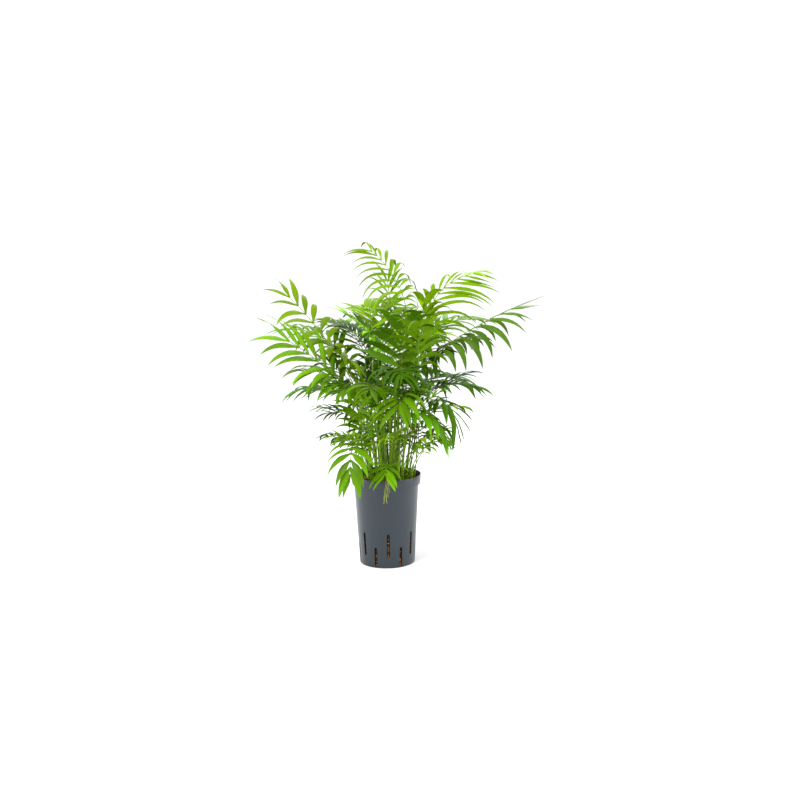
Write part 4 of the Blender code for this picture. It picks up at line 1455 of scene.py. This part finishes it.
class FrondDresser:
    """Fits fine leaflets to the ribs and makes the pieces of each frond."""

    seed = 29
    sags = (0.7, 1.35)
    twist = 18.0
    sizes = (0.88, 1.04)
    turn = 6.0

    def __init__(self, space: Space) -> None:
        """Builds the finishes of every tone."""
        self.space = space
        self.form = BladeForm()
        self.rng = random.Random(self.seed)
        self.palettes = {palette.tone: palette for palette in PALETTES}
        self.rib_materials = {palette.tone: palette.rib_material() for palette in PALETTES}

    def varied(self, bend: Bend) -> Bend:
        """Returns a bend with a little seeded variety."""
        return Bend(bend.sag * self.rng.uniform(*self.sags),
                    bend.twist + self.rng.uniform(-self.twist, self.twist),
                    bend.size * self.rng.uniform(*self.sizes),
                    self.rng.uniform(-self.turn, self.turn))

    def fit(self, rib: Rib) -> list[Blade]:
        """Fits each leaflet of a frond in free space and leaves out one that finds none.

        Args:
            rib: The frond's rib.

        Returns:
            The blades, in pairs from the foot of the frond to its tip.
        """
        count = round(rib.frond.pairs * rib.frond.density)
        own = Space()
        blades = []
        for index in range(count):
            share = index / (count - 1)
            for hand in (1, -1):
                for bend in BENDS:
                    blade = self.form.shape(rib, share, hand, self.varied(bend))
                    shape = blade.shape_past_root()
                    if self.space.is_free(shape, rib.frond.name) and own.is_free(shape):
                        blades.append(blade)
                        own.add(shape)
                        break
        for shape in own.shapes:
            self.space.shapes.append((*shape[:3], rib.frond.name))
        return blades

    def draw_leaflets(self, bm: BMesh, rib: Rib) -> None:
        """Draws the leaflets of a frond, each with one of its upper faces."""
        for blade in self.fit(rib):
            self.form.draw(bm, blade, self.rng.randrange(UNDER_FACE), UNDER_FACE)

    def dress_shoots(self, ribs: list[Rib]) -> list[Object]:
        """Builds the shoots, with the leaflets of each tone in one piece and all the stalks in another.

        Args:
            ribs: The shoots' ribs.

        Returns:
            The pieces.
        """
        meshes = defaultdict(bmesh.new)
        stalks = bmesh.new()
        for rib in ribs:
            self.draw_leaflets(meshes[rib.frond.tone], rib)
            rib.draw(stalks)
        pieces = []
        for tone, bm in meshes.items():
            piece = finish_piece(f"shoot_leaflets_{tone.name.lower()}", bm,
                                 self.palettes[tone].leaf_materials(0), LEAF_SHARP)
            pieces.append(piece)
        stalk = finish_piece("shoot_stalks", stalks, [self.rib_materials[Tone.GREEN]], LEAF_SHARP)
        return [*pieces, stalk]

    def dress_flowers(self, rib: Rib) -> list[Object]:
        """Builds the flower head: a stalk with thin bent strands that carry small buds.

        Args:
            rib: The flower head's stalk.

        Returns:
            The strands and the buds, which stand for the part's flower head.
        """
        strands, buds = bmesh.new(), bmesh.new()
        head = FlowerHead(self.form, self.rng)
        rib.draw(strands)
        head.draw(strands, buds, rib)
        pieces = [finish_piece("flower_strands", strands, [self.rib_materials[rib.frond.tone]], STRAND_SHARP),
                  finish_piece("flower_buds", buds, [head.bud_finish.build()])]
        for piece in pieces:
            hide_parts(rib.frond.name)
        return pieces

    def dress(self, rib: Rib) -> list[Object]:
        """Builds the rib and the leaflets of one frond.

        Args:
            rib: The frond's rib.

        Returns:
            The two pieces, which stand for the part's frond.
        """
        frond = rib.frond
        if frond.tone is Tone.STRAND:
            return self.dress_flowers(rib)
        blades, stalk = bmesh.new(), bmesh.new()
        self.draw_leaflets(blades, rib)
        rib.draw(stalk)
        stem = frond.name.removeprefix("frond_")
        faces = self.palettes[frond.tone].leaf_materials(frond.shade)
        pieces = [finish_piece(f"leaflets_{stem}", blades, faces, LEAF_SHARP),
                  finish_piece(f"rib_{stem}", stalk, [self.rib_materials[frond.tone]], LEAF_SHARP)]
        for piece in pieces:
            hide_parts(frond.name)
        return pieces


@dataclass(frozen=True)
class Shoots:
    """The young shoots among the canes: thin stalks with small feather leaves, which fill the clump.

    The leaflets, the bow and the sway of a stalk's middle are in millimetres, as a frond's are.
    """

    clump: Clump
    count: int = 46
    spread: float = 0.054
    blade_lengths: Pair = (0.055, 0.085)
    heights: Pair = (0.235, 0.405)
    outset: Pair = (0.010, 0.040)
    leaflets: Pair = (44.0, 62.0)
    tones: tuple[Tone, ...] = (Tone.LIME, Tone.GREEN, Tone.GREEN, Tone.DEEP)
    rise: Pair = (0.2, 1.0)
    swing: float = 0.8
    foot_depth: float = 0.002
    bow: float = 8.0
    sway: float = 3.0
    broads: Pair = (0.7, 1.1)
    droop: float = 1.4
    roll: float = 25.0
    pairs: int = 6
    test_rings: int = 12
    tries: int = 6
    seed: int = 17

    def lay_out(self, number: int, rng: random.Random) -> Rib:
        """Works out one shoot, from its foot in the granules to its tip.

        Args:
            number: The shoot's place in the clump, counted from the middle.
            rng: The source of its variety.

        Returns:
            The shoot's rib.
        """
        share = math.sqrt((number + 0.5) / self.count)
        outward = level_direction(number * GOLDEN_TURN + rng.uniform(-self.swing, self.swing))
        ground = UP * (self.clump.pot.fill_top - self.foot_depth)
        foot = self.clump.centre + outward * self.spread * share + ground
        start = foot + outward * rng.uniform(*self.outset)
        start.z = mix(*self.heights, rng.random())
        length = rng.uniform(*self.blade_lengths)
        tip = start + (outward + UP * rng.uniform(*self.rise)).normalized() * length
        tone = rng.choice(self.tones)
        frond = Frond(f"shoot_{self.seed}_{number + 1}", tuple(start / MM), tuple(tip / MM), bow=self.bow,
                      leaflet=rng.uniform(*self.leaflets), broad=rng.uniform(*self.broads),
                      droop=self.droop, roll=rng.uniform(-self.roll, self.roll), pairs=self.pairs,
                      density=1.0, tone=tone)
        middle = (start + tip) / 2.0 + UP * frond.bow * MM
        sway = Vector((rng.uniform(-self.sway, self.sway), rng.uniform(-self.sway, self.sway), 0.0)) * MM
        via = foot.lerp(start, 0.5) + sway
        return Rib(frond, (foot, via, start, middle, tip), 2)

    def grow(self, space: Space) -> list[Rib]:
        """Returns the shoots that find a free way up."""
        rng = random.Random(self.seed)
        shoots = []
        for number in range(self.count):
            for _ in range(self.tries):
                rib = self.lay_out(number, rng)
                shape = tube_shape([rib.section(rib.total * step / self.test_rings)
                                    for step in range(1, self.test_rings + 1)])
                if space.is_free(shape):
                    space.add(shape, rib.frond.name)
                    shoots.append(rib)
                    break
        return shoots


@dataclass(frozen=True)
class Lamp:
    """One soft square light: where it stands, its power in watts and its side in metres."""

    name: str
    place: Triple
    power: float
    size: float

    def build(self, target: Vector) -> None:
        """Adds the light, turned to face a target."""
        data = bpy.data.lights.new(self.name, "AREA")
        data.energy = self.power
        data.size = self.size
        turn = (target - Vector(self.place)).to_track_quat("-Z", "Y")
        linked(self.name, data).matrix_world = Matrix.Translation(self.place) @ turn.to_matrix().to_4x4()


LAMPS = (
    Lamp("key", (-1.1, -1.5, 2.4), 62.0, 1.2),
    Lamp("left_side", (-1.9, -0.3, 0.7), 11.0, 1.2),
    Lamp("right_side", (1.9, -0.4, 0.8), 18.0, 1.0),
    Lamp("back", (0.4, 1.8, 1.9), 14.0, 1.4),
)


@dataclass(frozen=True)
class Studio:
    """The pale floor, the soft lights and the camera."""

    camera_place: Triple = (0.03175, -2.2, 0.6869)
    camera_pitch: float = math.radians(8.6585)
    camera_roll: float = math.radians(-0.764)
    lens_px: float = 1048.84
    picture_px: float = 800.0
    sensor: float = 36.0
    floor_reach: float = 6.0
    floor_shades: tuple[Colour, Colour] = ((0.90, 0.90, 0.90, 1.0), (0.93, 0.93, 0.93, 1.0))
    floor_cloud_scale: float = 3.0
    floor_roughness: float = 0.9
    floor_gloss: float = 0.1
    light_aim: float = 0.35
    world_strength: float = 1.15

    def floor(self) -> None:
        """Adds the plain floor."""
        bm = bmesh.new()
        bmesh.ops.create_grid(bm, x_segments=1, y_segments=1, size=self.floor_reach)
        board = NodeBoard("floor_white")
        board.put(Roughness=self.floor_roughness, Specular_IOR_Level=self.floor_gloss)
        board.paint(board.blend(board.noise(self.floor_cloud_scale), *self.floor_shades))
        floor = linked("floor", mesh_of("floor", bm))
        floor.data.materials.append(board.material)

    def world(self) -> None:
        """Lights the scene from all round with plain white."""
        world = bpy.data.worlds.new("studio")
        world.use_nodes = True
        back = world.node_tree.nodes["Background"]
        back.inputs["Color"].default_value = (1.0, 1.0, 1.0, 1.0)
        back.inputs["Strength"].default_value = self.world_strength
        bpy.context.scene.world = world

    def camera(self) -> None:
        """Sets the camera at the photo's angle."""
        data = bpy.data.cameras.new("camera")
        data.sensor_width = self.sensor
        data.lens = self.lens_px / self.picture_px * self.sensor
        camera = linked("camera", data)
        forward = Vector((0.0, math.cos(self.camera_pitch), -math.sin(self.camera_pitch)))
        tilt = Matrix.Rotation(math.pi / 2.0 - self.camera_pitch, 4, "X")
        roll = Matrix.Rotation(-self.camera_roll, 4, forward)
        camera.matrix_world = Matrix.Translation(self.camera_place) @ roll @ tilt
        bpy.context.scene.camera = camera

    def build(self) -> None:
        """Sets up the floor, the lights, the world and the camera."""
        self.floor()
        for lamp in LAMPS:
            lamp.build(UP * self.light_aim)
        self.world()
        self.camera()
        bpy.context.scene.view_settings.view_transform = "Standard"


def main() -> None:
    """Builds the pot, the granules, the canes, the fronds and the studio in turn."""
    logging.basicConfig(level=logging.INFO, format="%(message)s")
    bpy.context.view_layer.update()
    pot = Pot()
    LOG.info("pot: %s", pot.build().name)
    for piece in Granules(pot).build():
        LOG.info("granules: %s", piece.name)
    space = Space()
    clump = Clump(pot)
    grower = RibGrower(pot, clump, space)
    LOG.info("canes: %s", clump.build(grower.canes).name)
    rng = random.Random(FILL_SEED)
    fronds = [*SHOWN_FRONDS, *(frond for tier in TIERS for frond in tier.fronds(rng))]
    ribs = [grower.grow(frond) for frond in fronds]
    dresser = FrondDresser(space)
    for rib in ribs:
        pieces = dresser.dress(rib)
        LOG.info("frond: %s, %d faces", pieces[0].name, len(pieces[0].data.polygons))
    low = Shoots(clump)
    # The inner shoots are mostly the deep tone: painted shade in the middle of the clump
    inner = Shoots(clump, count=30, spread=0.044, blade_lengths=(0.07, 0.10), heights=(0.33, 0.455),
                   outset=(0.010, 0.055), leaflets=(60.0, 84.0), tones=(Tone.DEEP, Tone.DEEP, Tone.GREEN),
                   rise=(0.6, 1.8), seed=23)
    for piece in dresser.dress_shoots([*low.grow(space), *inner.grow(space)]):
        LOG.info("shoots: %s, %d faces", piece.name, len(piece.data.polygons))
    Studio().build()


if __name__ == "__main__":
    main()
